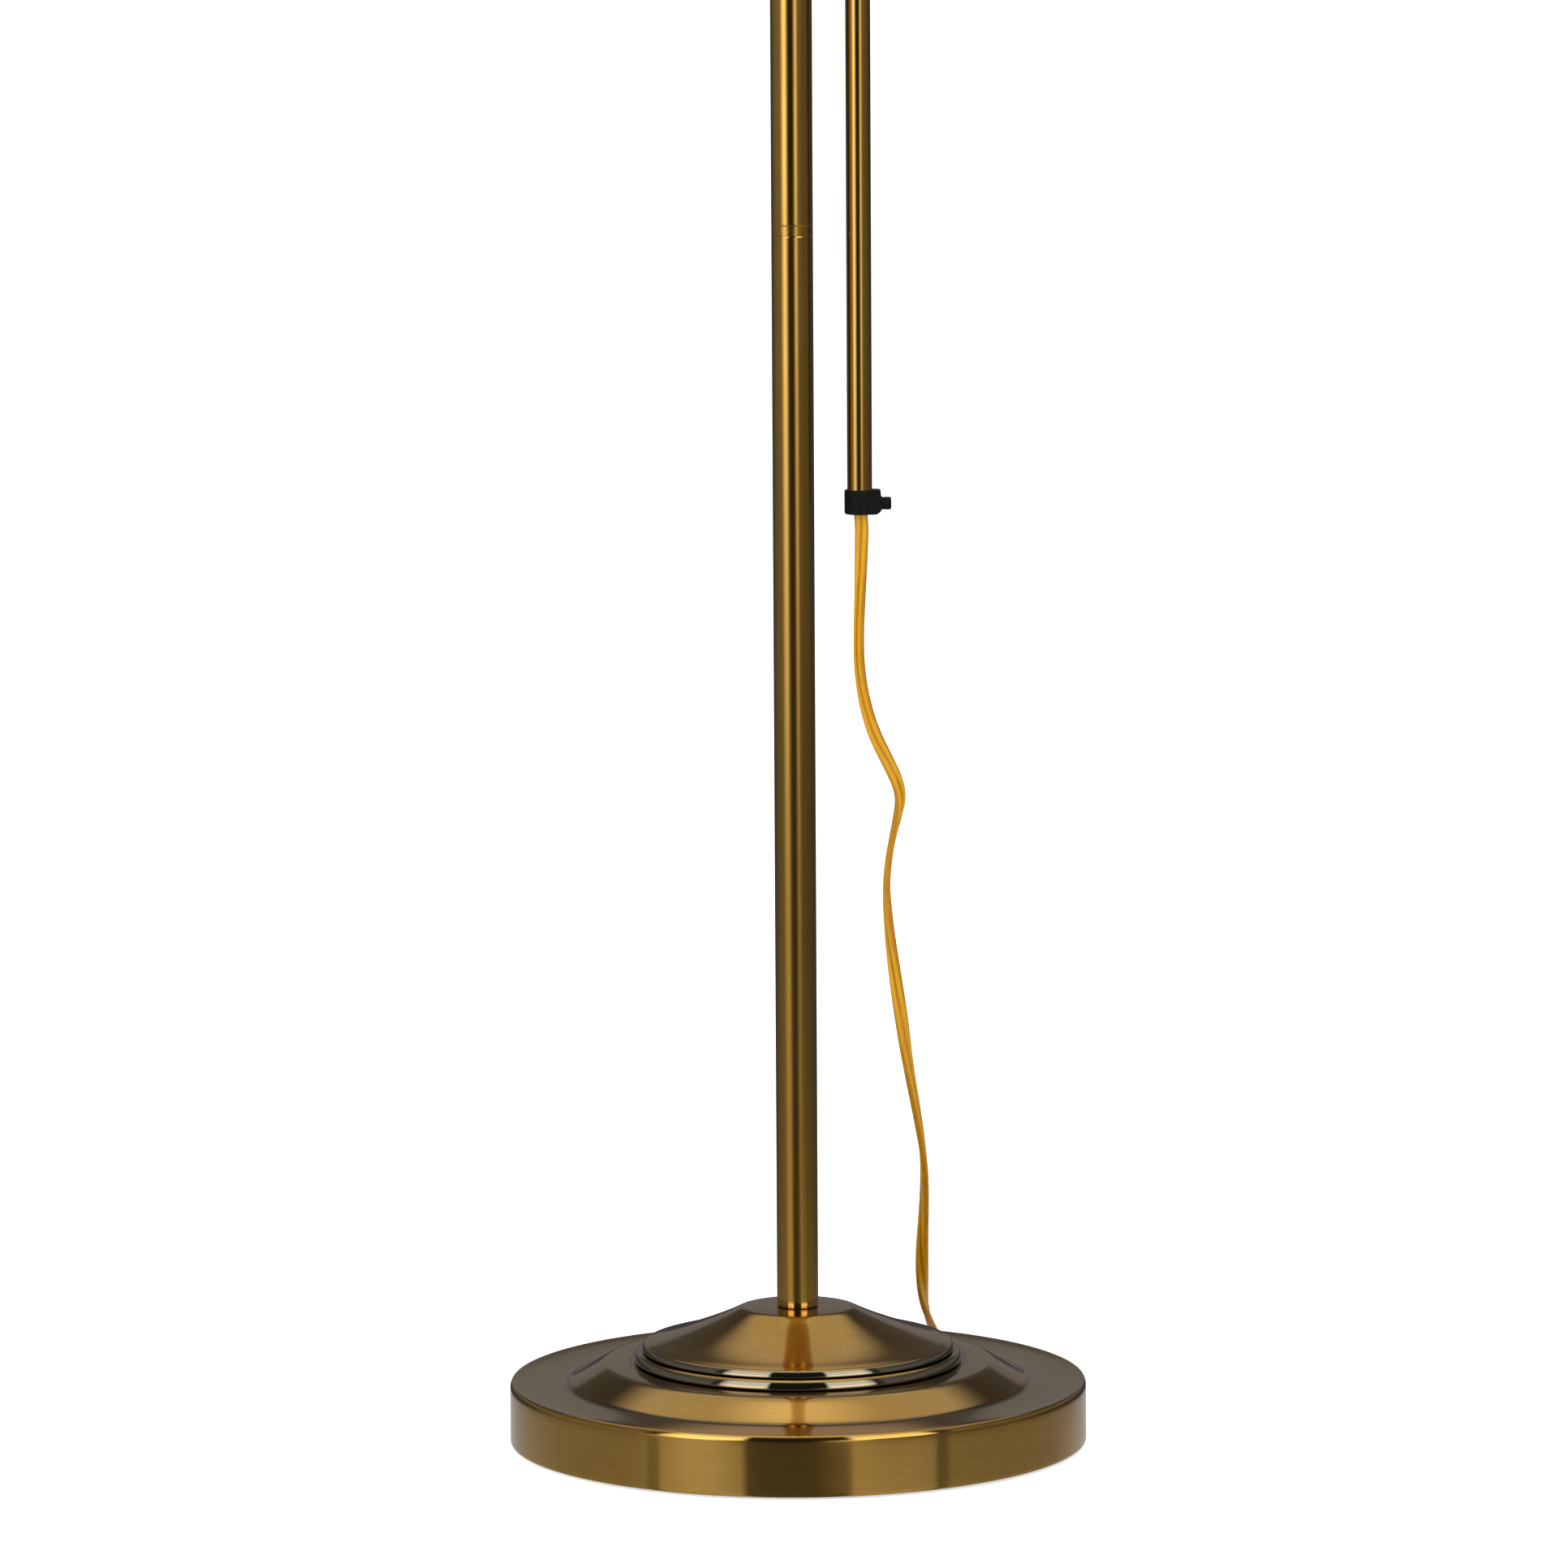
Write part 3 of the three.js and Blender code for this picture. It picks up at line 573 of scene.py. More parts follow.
# ------------------------------------------------------------------ the cord: one flat twin lead, rod end to plug
# (x, y, z, twist in degrees) of the hanging stretch
HANG = [
    (25.5, 0, 359.0, 0), (25.9, 0, 353.4, 3), (25.9, 0, 349.5, 10), (25.54, 0, 337.1, 33), (25.08, 0, 324.7, 52), (24.6, 0.3, 309.2, 58), (25.1, 0.4, 296.7, 51), (27.5, 0.6, 283.0, 33),
    (30.9, 0.8, 272.6, 13), (35.6, 1.0, 262.9, -9), (39.2, 1.2, 254.8, -33), (40.3, 1.4, 248.8, -51), (39.4, 1.6, 242.9, -68), (37.6, 1.8, 235.0, -84), (36.0, 2.2, 226.9, -91),
    (35.1, 2.8, 218.6, -93), (34.9, 3.4, 212.6, -96), (35.9, 5.4, 197.3, -119), (38.1, 8.6, 179.0, -154), (40.7, 13.2, 160.3, -188), (42.7, 18.4, 145.4, -232), (45.1, 24.8, 130.8, -243),
    (47.4, 32.2, 116.6, -257), (48.9, 38.5, 105.7, -270), (49.6, 46.2, 93.0, -286), (49.3, 58.0, 76.0, -306), (48.8, 71.0, 59.8, -335), (49.2, 85.5, 43.4, -395), (50.3, 96.0, 33.2, -440),
    (53.2, 107.0, 22.8, -480),
]
LAND = [(55.9, 113.8, 16.0), (58.6, 120.2, 10.4), (61.3, 126.6, 6.4), (63.6, 132.2, 4.0)]
LIE_Z = 3.15


def hank_points():
    """Centreline of the folded hank: long turns that wind inwards, then an S-bend to the plug's neck."""
    pts, turned = [], 0.0
    r_of = lambda t: HANK_R - HANK_TURN * t
    perimeter = 2 * (2 * HANK_H) + 2 * math.pi * 22.9
    # start on the right fold at -35 degrees
    total, state = 0.0, ("right", math.radians(-35))
    travelled = 0.0
    step = 4.0
    while True:
        r = r_of(travelled / perimeter)
        kind, v = state
        if kind == "right":
            pts.append((HANK_H + r * math.cos(v), HANK_Y + r * math.sin(v), LIE_Z))
            v += step / r
            travelled += step
            state = ("right", v) if v < math.pi / 2 else ("back", HANK_H - (v - math.pi / 2) * r)
        elif kind == "back":
            pts.append((v, HANK_Y + r, LIE_Z))
            v -= step
            travelled += step
            state = ("back", v) if v > -HANK_H else ("left", math.pi / 2 + (-HANK_H - v) / r)
        elif kind == "left":
            pts.append((-HANK_H + r * math.cos(v), HANK_Y + r * math.sin(v), LIE_Z))
            v += step / r
            travelled += step
            if v >= 1.5 * math.pi:
                if travelled > 4.2 * perimeter:
                    break
                state = ("front", -HANK_H + (v - 1.5 * math.pi) * r)
            else:
                state = ("left", v)
        else:
            pts.append((v, HANK_Y - r, LIE_Z))
            v += step
            travelled += step
            state = ("front", v) if v < HANK_H else ("right", -math.pi / 2 + (v - HANK_H) / r)
    # the last pass leaves the left fold and swings up to the plug in two even arcs
    x0, y0 = pts[-1][0], pts[-1][1]
    x1, y1, z1 = -7.4, HANK_Y, 6.2
    span, rise = x1 - x0, y1 - y0
    bend = (span * span + rise * rise) / (4 * rise)
    end = math.asin(span / 2 / bend)
    swing = [(x0 + bend * math.sin(end * i / 6), y0 + bend * (1 - math.cos(end * i / 6))) for i in range(1, 7)]
    swing += [(x1 - bend * math.sin(end * i / 6), y1 - bend * (1 - math.cos(end * i / 6))) for i in reversed(range(6))]
    for i, (x, y) in enumerate(swing):
        t = (i + 1) / len(swing)
        pts.append((x, y, LIE_Z + (z1 - LIE_Z) * t * t * (3 - 2 * t)))
    return pts


hank = hank_points()
control = [Vector(p[:3]) for p in HANG] + [Vector(p) for p in LAND] + [Vector(p) for p in hank]


def catmull(points, per):
    """Centripetal Catmull-Rom, returning points and the span each came from."""
    q = [points[0] * 2 - points[1], *points, points[-1] * 2 - points[-2]]
    out, where = [], []
    for i in range(1, len(q) - 2):
        p0, p1, p2, p3 = q[i - 1 : i + 3]
        t0 = 0
        t1 = t0 + (p1 - p0).length ** 0.5
        t2 = t1 + (p2 - p1).length ** 0.5
        t3 = t2 + (p3 - p2).length ** 0.5
        n = per if i <= len(HANG) + len(LAND) else 2
        for j in range(n):
            t = t1 + (t2 - t1) * j / n
            a1 = p0 * ((t1 - t) / (t1 - t0)) + p1 * ((t - t0) / (t1 - t0))
            a2 = p1 * ((t2 - t) / (t2 - t1)) + p2 * ((t - t1) / (t2 - t1))
            a3 = p2 * ((t3 - t) / (t3 - t2)) + p3 * ((t - t2) / (t3 - t2))
            b1 = a1 * ((t2 - t) / (t2 - t0)) + a2 * ((t - t0) / (t2 - t0))
            b2 = a2 * ((t3 - t) / (t3 - t1)) + a3 * ((t - t1) / (t3 - t1))
            out.append(b1 * ((t2 - t) / (t2 - t1)) + b2 * ((t - t1) / (t2 - t1)))
            where.append(i - 1 + j / n)
    out.append(points[-1].copy())
    where.append(len(points) - 1)
    return out, where


line, where = catmull(control, 6)
# ease the path a little so that bends stay even
for _ in range(6):
    line = [line[0]] + [line[i] * 0.5 + (line[i - 1] + line[i + 1]) * 0.25 for i in range(1, len(line) - 1)] + [line[-1]]
tangent = [(line[min(i + 1, len(line) - 1)] - line[max(i - 1, 0)]).normalized() for i in range(len(line))]
side = [Vector((1, 0, 0))]
side[0] = (side[0] - tangent[0] * side[0].dot(tangent[0])).normalized()
for i in range(1, len(line)):
    rot = tangent[i - 1].rotation_difference(tangent[i])
    s_ = rot @ side[-1]
    side.append((s_ - tangent[i] * s_.dot(tangent[i])).normalized())


def angle_of(i, w):
    w = (w - tangent[i] * w.dot(tangent[i])).normalized()
    return math.atan2(w.dot(tangent[i].cross(side[i])), w.dot(side[i]))


keys, last_theta = [], None
for j, h in enumerate(HANG):
    i = min(range(len(where)), key=lambda q: abs(where[q] - j))
    t = tangent[i]
    u = Vector((-t.z, 0, t.x)).normalized()
    v = t.cross(u)
    th = math.radians(h[3])
    a = angle_of(i, u * math.cos(th) + v * math.sin(th))
    if keys:
        d = th - last_theta
        prev = keys[-1][1]
        a = prev + d + ((a - prev - d + math.pi) % (2 * math.pi) - math.pi)
    keys.append((i, a))
    last_theta = th
first_flat = len(HANG) + 2
for i in range(len(line)):
    if where[i] >= first_flat:
        a, prev = angle_of(i, Vector((0, 0, 1))), keys[-1][1]
        near = (a - prev + math.pi / 2) % math.pi - math.pi / 2
        keys.append((i, prev + near))
ki, ka = np.array([k_[0] for k_ in keys], float), np.array([k_[1] for k_ in keys])
twist = np.interp(np.arange(len(line)), ki, ka)
for _ in range(10):
    twist[1:-1] = twist[1:-1] * 0.5 + (twist[:-2] + twist[2:]) * 0.25

# twin section: two round cores joined by a web, 5.2 x 2.7
# the third entry of each section point is a painted light mask: 1 on the core crowns, low in the web and at the sides
section = []
for i in range(28):
    t = 2 * math.pi * i / 28
    w = 2.6 * math.cos(t)
    core = math.sqrt(max(0.0, 1.35**2 - (abs(w) - 1.25) ** 2))
    web = 0.98 if abs(w) < 1.3 else 0.0
    h = max(core, web)
    section.append((w, math.copysign(h, math.sin(t)) if abs(math.sin(t)) > 1e-6 else 0.0, min(1.0, core / 1.35) ** 2 if abs(w) < 2.3 else 0.35))
verts, faces, crown_light = [], [], []
n_s = len(section)
for i, (p, t) in enumerate(zip(line, tangent)):
    a = side[i]
    b_ = t.cross(a)
    w_dir = a * math.cos(twist[i]) + b_ * math.sin(twist[i])
    h_dir = t.cross(w_dir)
    for w, h, c in section:
        verts.append(tuple(p + w_dir * w + h_dir * h))
        crown_light.append(c)
for i in range(len(line) - 1):
    for j in range(n_s):
        k2 = (j + 1) % n_s
        faces.append((i * n_s + j, i * n_s + k2, (i + 1) * n_s + k2, (i + 1) * n_s + j))
faces.append(tuple(range(n_s))[::-1])
faces.append(tuple(range((len(line) - 1) * n_s, len(line) * n_s)))
me = bpy.data.meshes.new("cord")
me.from_pydata([tuple(c * MM for c in v) for v in verts], [], faces)
me.attributes.new("crown_light", "FLOAT", "POINT").data.foreach_set("value", np.array(crown_light, np.float32))
me.materials.append(M["cord"])
cord = bpy.data.objects.new("cord", me)
scene.collection.objects.link(cord)
bm = bmesh.new()
bm.from_mesh(me)
bmesh.ops.recalc_face_normals(bm, faces=bm.faces)
bm.to_mesh(me)
bm.free()
smooth(cord, 60)
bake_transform(cord)
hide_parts("cord_hanging", "cord_hank")

# plug: moulded body with grip waists and a ribbed neck
PX, PZ = 8.0, 6.2
top = [(0.0, 4.4), (1.2, 5.6), (4.5, 8.3), (8.0, 8.9), (12.0, 8.4), (16.0, 8.9), (19.6, 9.3), (21.4, 8.9), (22.4, 7.6)]
half = spline(top, 4)
plug_line = [(PX + a, b_) for a, b_ in half] + [(PX + a, -b_) for a, b_ in half[::-1]]
pv, pf = outline_geo(plug_line, PZ - 5.3, PZ + 5.3, 2.2, 4)
body_geo = ([(x, y + HANK_Y, z) for x, y, z in pv], pf)
neck_profile = [(0, -16.0), (2.75, -16.0)]
for i in range(9):
    u0 = -15.2 + i * 1.75
    r0 = 3.0 + (i / 8) * 1.35
    neck_profile += [(r0 - 0.45, u0), (r0 - 0.4, u0 + 0.35), (r0 + 0.1, u0 + 0.6), (r0 + 0.15, u0 + 1.25), (r0 - 0.35, u0 + 1.5)]
neck_profile += [(4.4, 1.0), (4.4, 3.0), (0, 3.0)]
nv, nf = lathe_geo(neck_profile, 40)
neck_geo = (place_x(nv, PX, HANK_Y, PZ), nf)
plug = obj_from("plug_body_look", *merge(body_geo, neck_geo), M["plug"], 40)
seat(plug, "stand", "amber_plug", "plug_body")
for name, s_, w in (("wide", 1, 7.9), ("narrow", -1, 6.3)):
    h = w / 2
    tip = [(31.1, -h), (45.2, -h), (47.1, -h + 1.7), (47.1, h - 1.7), (45.2, h), (31.1, h)]
    bv, bf = outline_geo(fillet([(a, b_, 0.6) if a > 40 else (a, b_) for a, b_ in tip], 4), -0.75, 0.75, 0.22, 2)
    o = obj_from(f"plug_blade_{name}_look", [(x, HANK_Y + s_ * 6.35 + z, PZ + y) for x, y, z in bv], bf, M["blade"], 35)
    hole = [(44.0 + v[0], HANK_Y + s_ * 6.35 + v[2], PZ + v[1]) for v in lathe_geo([(0, -3), (1.6, -3), (1.6, 3), (0, 3)], 24)[0]]
    cut(o, (hole, lathe_geo([(0, -3), (1.6, -3), (1.6, 3), (0, 3)], 24)[1]))
    seat(o, "stand", "blade", f"plug_blade_{name}")

# strap ties round both sides of the hank
ro, ri = HANK_R + 1.45, HANK_R - 4 * HANK_PITCH - 1.45
for name, s_ in (("rear", 1), ("front", -1)):
    mid, w2 = HANK_Y + s_ * (ro + ri) / 2, (ro - ri) / 2 + 0.35
    loop = fillet([(-w2, 0.08, 1.1), (w2, 0.08, 1.1), (w2, 6.35, 1.3), (-w2, 6.35, 1.3)], 6)
    inner = fillet([(-w2 + 0.42, 0.50, 0.8), (w2 - 0.42, 0.50, 0.8), (w2 - 0.42, 5.93, 0.9), (-w2 + 0.42, 5.93, 0.9)], 6)
    tv, tf, nn = [], [], len(loop)
    xs = [-26.5, -26.35, -17.65, -17.5]
    for xi, x in enumerate(xs):
        e = 0.1 if xi in (0, 3) else 0.0
        for (a, b_), (c, d) in zip(loop, inner):
            m_ = ((a + c) / 2, (b_ + d) / 2)
            tv.append((x, mid + a + (m_[0] - a) * 2 * e, b_ + (m_[1] - b_) * 2 * e))
        for (a, b_), (c, d) in zip(loop, inner):
            tv.append((x, mid + c, d))
    for xi in range(3):
        o0, o1 = xi * 2 * nn, (xi + 1) * 2 * nn
        for j in range(nn):
            j2 = (j + 1) % nn
            tf.append((o0 + j, o0 + j2, o1 + j2, o1 + j))
            tf.append((o0 + nn + j, o1 + nn + j, o1 + nn + j2, o0 + nn + j2))
    for xi in (0, 3):
        o0 = xi * 2 * nn
        for j in range(nn):
            j2 = (j + 1) % nn
            tf.append((o0 + j, o0 + nn + j, o0 + nn + j2, o0 + j2))
    # the strap's free end, laid back over the top
    fv, ff = outline_geo(fillet([(-26.1, mid - w2 + 2.0, 1.0), (-17.9, mid - w2 + 2.0, 1.0), (-17.9, mid + w2 - 1.6, 1.0), (-26.1, mid + w2 - 1.6, 1.0)], 4), 6.36, 6.76, 0.12, 1)
    t_o = obj_from(f"hank_tie_{name}_look", *merge((tv, tf), (fv, ff)), M["tie"], 40)
    seat(t_o, "stand", "tie", f"hank_tie_{name}")


# ------------------------------------------------------------------ base
cover = [(109.9, 0.62), (110.7, 0.62), (110.93, 0.7), (111.04, 0.9), (111.06, 1.3), (111.06, 2.0), (111.05, 5.0), (111.04, 9.0), (111.03, 14.0), (111.03, 18.0), (111.02, 20.6), (111.01, 21.4)]
cover += arc(107.01, 21.42, 4.0, 4, 30, 8) + arc(109.911, 23.095, 0.65, 38, 88, 6)
cover += [(109.2, 23.7), (107.6, 23.5), (105.0, 23.32), (98.0, 23.2), (91.5, 23.2), (89.4, 23.3), (88.1, 23.66), (87.0, 24.2), (85.2, 25.2), (81.0, 27.5), (77.4, 29.5), (76.0, 30.22), (75.0, 30.66), (74.0, 30.92), (73.0, 31.0), (66.0, 31.0), (5.4, 31.0)]
cover += [(5.4, 29.7), (73.2, 29.7), (86.8, 21.9), (108.4, 21.8), (109.5, 20.6), (109.8, 12.0)]
seat(lathe("base_cover_look", cover, M["base"], 256, angle=42), "stand", "base_brass", "base_cover")
ring = [(5.4, 31.32), (61.6, 31.32)] + arc(62.457, 32.02, 0.7, -90, 2, 6) + arc(55.228, 31.007, 8.0, 8, 24, 8) + arc(61.303, 33.712, 1.35, 31, 90, 7) + [(60.6, 35.08), (5.4, 35.08)]
seat(lathe("check_ring_look", ring, M["cap"], 224, angle=42), "stand", "base_brass", "check_ring")
dome = [(57.2, 35.41), (58.9, 35.41)] + arc(59.535, 35.885, 0.47, -90, 2, 5) + arc(54.058, 35.115, 6.0, 8, 26, 8) + arc(58.642, 37.35, 0.9, 34, 90, 7) + [(58.1, 38.42), (57.5, 38.62)]
dome += spline([(57.0, 38.8), (52.0, 40.1), (46.0, 42.0), (39.4, 44.4), (33.0, 46.9), (27.3, 49.35), (24.0, 50.95)], 5)[1:]
dome += [(23.2, 51.35), (22.4, 51.7), (21.6, 51.93), (20.8, 52.0), (12.0, 52.0), (5.4, 52.0), (5.4, 50.8), (20.6, 50.8), (32.5, 45.6), (56.6, 37.4)]
seat(lathe("dome_cap_look", dome, M["cap"], 224, angle=42), "stand", "base_brass", "dome_cap")
pad = fillet([(0, 0.02), (108.9, 0.02, 0.5), (108.9, 1.5, 0.5), (0, 1.5)], 3)
seat(lathe("base_pad_look", pad, M["felt"], 128), "stand", "felt", "base_pad")


# ------------------------------------------------------------------ pole
def tube_profile(ro, ri, z0, z1, ease=0.25, cuts=()):
    zs = [z0 + ease, z0 + ease + 0.5, *cuts, z1 - ease - 0.5, z1 - ease]
    out = [(ri, z0 + 0.1), (ri + 0.1, z0), (ro - ease, z0), (ro - ease * 0.3, z0 + ease * 0.3)] + [(ro, z) for z in zs]
    return out + [(ro - ease * 0.3, z1 - ease * 0.3), (ro - ease, z1), (ri + 0.1, z1), (ri, z1 - 0.1)]


seat(lathe("lower_pole_look", tube_profile(POLE_R, POLE_BORE, 52.2, 464.1, 0.06, (150, 250, 350)), M["pole"], 96), "stand", "pole_brass", "lower_pole")
seat(lathe("upper_pole_look", tube_profile(POLE_R, POLE_BORE, 467.9, POLE_TOP, 0.06, (560, 640, 720)), M["pole"], 96), "stand", "pole_brass", "upper_pole")
coupling = [(3.4, 449), (3.7, 448.7), (6.2, 448.7), (6.5, 449), (6.5, 464.12), (7.87, 464.12), (7.93, 464.18), (7.93, 464.5), (7.93, 467.5), (7.93, 467.82), (7.87, 467.88), (6.5, 467.88), (6.5, 483), (6.2, 483.3), (3.7, 483.3), (3.4, 483)]
seat(lathe("pole_coupling_look", coupling, M["coupling"], 96), "stand", "pole_brass", "pole_coupling")

# ------------------------------------------------------------------ clamp block, bush, finial
r1, r2 = 13.0, 11.6
al = math.acos((r1 - r2) / ROD_X)
outline = [(r1 * math.cos(t), r1 * math.sin(t)) for t in np.linspace(al, 2 * math.pi - al, 48)]
outline += [(ROD_X + r2 * math.cos(t), r2 * math.sin(t)) for t in np.linspace(-al, al, 40)]
block = obj_from("clamp_block_look", *outline_geo(outline, 797.3, 824.0, 1.4, 4), M["fitting"], 40)
cut(block, rod_geo(5.15, 790, 830), (place_z(rod_geo(6.6, 790, 830)[0], ROD_X), rod_geo(6.6, 790, 830)[1]), (place_x(rod_geo(3.1, 0, 20)[0], ROD_X + 2, 0, 812), rod_geo(3.1, 0, 20)[1]))
seat(block, "stand", "fitting_brass", "clamp_block")
bush = [(5.1, 797.6), (6.0, 797.6), (6.25, 797.9), (6.25, 824.3), (8.2, 824.3), (8.6, 824.6), (8.6, 825.6), (8.3, 826.2), (5.4, 826.2), (5.1, 825.9)]
b_o = lathe("rod_bush_look", bush, M["nylon"], 64, place_z, (ROD_X,))
cut(b_o, (place_x(rod_geo(2.7, 0, 12)[0], ROD_X + 2, 0, 812), rod_geo(2.7, 0, 12)[1]))
seat(b_o, "stand", "nylon", "rod_bush")
fin = [(5.15, 824.3), (10.2, 824.3), (10.6, 824.5), (10.8, 825.2), (10.7, 826.0), (10.1, 826.8), (9.0, 827.7), (7.9, 828.8), (7.2, 829.9), (7.0, 830.9), (7.3, 831.8)]
fin += spline([(7.9, 832.5), (9.2, 834.3), (10.0, 836.6), (10.15, 838.6), (9.75, 841.8), (8.6, 844.8), (6.7, 847.4), (4.0, 849.3), (1.6, 850.05)], 4)
fin += [(0, 850.2), (0, 839), (5.15, 839)]
seat(lathe("pole_finial_look", fin, M["finial"], 96), "stand", "fitting_brass", "pole_finial")


# ------------------------------------------------------------------ knobs
def knob_geo(r, depth, flutes, hub_r=None, hub=0.0, flute_depth=0.75, rim=1.1, dish=0.8):
    """Fluted knob along Z from 0 to depth, with a dished outer face; hub adds a boss below 0."""
    prof = []
    if hub_r:
        prof += [(0, -hub), (hub_r - 0.3, -hub), (hub_r, -hub + 0.3), (hub_r, 0.0)]
    else:
        prof += [(0, 0.0)]
    prof += [(r - rim - 1.4, 0.0)] + [(r - rim + rim * math.sin(t), rim - rim * math.cos(t)) for t in np.linspace(0, math.pi / 2, 6)]
    prof += [(r, depth * 0.35), (r, depth * 0.65)]
    prof += [(r - rim + rim * math.cos(t), depth - rim + rim * math.sin(t)) for t in np.linspace(0, math.pi / 2, 6)]
    prof += [(r - rim - 0.8, depth - 0.05), (r - rim - 1.3, depth - dish * 0.7), (r - rim - 1.9, depth - dish), (1.6, depth - dish), (1.2, depth - dish + 0.25), (0, depth - dish + 0.35)]

    def warp(q, z, t):
        if q < r - rim - 0.9 or z < 0:
            return q
        f = 0.5 - 0.5 * math.cos(t * flutes)
        g = max(0.0, 1 - 2.2 * f)  # narrow grooves between wide lands
        return q - flute_depth * g

    return lathe_geo(prof, flutes * 14, warp)


v1, f1 = knob_geo(9.0, 9.5, 12, 4.6, 4.2)
v2, f2 = rod_geo(2.3, 5.2 - 16.5, 0.5, 28)
k1 = obj_from("clamp_knob_look", *merge((place_x(v1, ROD_X + 16.5, 0, 812), f1), (place_x(v2, ROD_X + 16.5, 0, 812), f2)), M["fitting"], 36)
seat(k1, "clamp_screw", "fitting_brass", "clamp_knob")
v1, f1 = knob_geo(9.6, 9.4, 12, 4.8, 1.7)
tk = obj_from("tilt_knob_look", place_my(v1, ROD_X, -9.2, PIVOT_Z), f1, M["fitting"], 36)
cut(tk, (place_my(rod_geo(2.35, -6, 6)[0], ROD_X, -9.2, PIVOT_Z), rod_geo(2.35, -6, 6)[1]))
seat(tk, "tilt_screw", "fitting_brass", "tilt_knob")
v1, f1 = knob_geo(6.2, 6.4, 10, None, 0, 0.6, 0.8, 0.6)
v2, f2 = rod_geo(1.6, -4.8, 0.4, 24)
sk = obj_from("switch_key_look", *merge((place_my(v1, ROD_X - 122, -20.4, PIVOT_Z), f1), (place_my(v2, ROD_X - 122, -20.4, PIVOT_Z), f2)), M["knob"], 36)
seat(sk, "key", "black_knob", "switch_key")

# ------------------------------------------------------------------ rod, collar, set screw
seat(lathe("rod_look", tube_profile(ROD_R, ROD_BORE, ROD_Z0, ROD_Z1, 0.3, (500, 640, 780, 920)), M["rod"], 80, place_z, (ROD_X,)), "slide_rod", "rod_brass", "rod")


def collar():
    """Moulded collar: a round ring that grows a squarish boss for the set screw on its +X side."""
    seg = 120
    rows = []
    z0, z1 = COLLAR_Z0, COLLAR_Z1
    stations = [(z0, 0.75, 6.2), (z0 + 0.06, 0.5, 6.5), (z0 + 0.25, 0.25, 7.0), (z0 + 0.7, 0.06, 7.6), (z0 + 1.3, 0.0, 8.15), (z0 + 1.9, 0.0, 8.45), (z0 + 3.4, 0.0, 8.5), (z0 + 5.6, 0.0, 8.5), (z0 + 6.6, 0.0, 8.42),
                (z0 + 7.1, 0.0, 8.1), (z0 + 8.4, 0.0, 8.05), (z1 - 0.45, 0.03, 7.98), (z1 - 0.18, 0.14, 7.85), (z1 - 0.04, 0.32, 7.65), (z1, 0.5, 7.4)]
    verts, faces = [], []

    def radius(t, inset, lobe):
        ring_r = 5.85 - inset
        c, s = math.cos(t), math.sin(t)
        if c <= 0.05:
            return ring_r
        hw, rc = 4.3 - inset * 0.5, 1.5
        # distance to the rounded box edge along this ray, by bisection
        lo, hi = ring_r, 12.0

        def inside(q):
            x, y = q * c, abs(q * s)
            dx, dy = max(0.0, x - (lobe - rc)), max(0.0, y - (hw - rc))
            return dx * dx + dy * dy <= rc * rc

        if not inside(lo):
            return ring_r
        for _ in range(30):
            m_ = (lo + hi) / 2
            lo, hi = (m_, hi) if inside(m_) else (lo, m_)
        return lo

    for z, inset, lobe in stations:
        raw = [radius(2 * math.pi * i / seg, inset, lobe) for i in range(seg)]
        for _ in range(2):
            raw = [raw[i] * 0.5 + (raw[i - 1] + raw[(i + 1) % seg]) * 0.25 for i in range(seg)]
        rows.append([len(verts) + i for i in range(seg)])
        verts += [(ROD_X + q * math.cos(2 * math.pi * i / seg), q * math.sin(2 * math.pi * i / seg), z) for i, q in enumerate(raw)]
    for a, b2 in zip(rows, rows[1:]):
        faces += [(a[i], a[(i + 1) % seg], b2[(i + 1) % seg], b2[i]) for i in range(seg)]
    faces += [tuple(rows[0][::-1]), tuple(rows[-1])]
    o = obj_from("rod_collar_look", verts, faces, M["collar"], 40)
    z_ = lambda r, a, b3: (place_z(rod_geo(r, a, b3, 48)[0], ROD_X), rod_geo(r, a, b3, 48)[1])
    cut(o, z_(5.0, ROD_Z0 - 0.2, 372), z_(2.95, 350, 363), (place_x(rod_geo(2.5, 8.15, 9.5, 32)[0], ROD_X, 0, SCREW_Z), rod_geo(2.5, 8.15, 9.5, 32)[1]))
    return o


seat(collar(), "slide_rod", "black_collar", "rod_collar")
# knurled set screw with a slotted, slightly domed head
sp = [(0, -6.5), (1.7, -6.5), (1.7, -0.35), (2.35, -0.35), (2.42, -0.25), (2.42, 1.6), (2.42, 2.8), (2.3, 3.15), (2.0, 3.38), (1.2, 3.46), (0, 3.48)]
sv, sf = lathe_geo(sp, 96, lambda q, z, t: q + (0.05 * math.cos(24 * t) if q > 2.3 and 0.3 < z < 3.0 else 0))
scr = obj_from("collar_screw_look", place_x(sv, ROD_X + 8.6, 0, SCREW_Z), sf, M["screw"], 36)
slot_v = [(ROD_X + 11.4, -0.32, SCREW_Z - 3), (ROD_X + 13, -0.32, SCREW_Z - 3), (ROD_X + 13, 0.32, SCREW_Z - 3), (ROD_X + 11.4, 0.32, SCREW_Z - 3)]
slot_v += [(x, y, SCREW_Z + 3) for x, y, z in slot_v]
cut(scr, (slot_v, [(0, 3, 2, 1), (4, 5, 6, 7), (0, 1, 5, 4), (1, 2, 6, 5), (2, 3, 7, 6), (3, 0, 4, 7)]))
seat(scr, "slide_rod", "black_screw", "collar_screw")

# ------------------------------------------------------------------ swivel fork and bolt
hub = fillet([(0, 1089), (3.75, 1089), (3.75, 1079.3), (8.6, 1079.3, 0.6), (9.0, 1080.4, 0.4), (9.0, 1090.6, 0.8), (7.6, 1093.0, 1.2), (0, 1093.2)], 4)


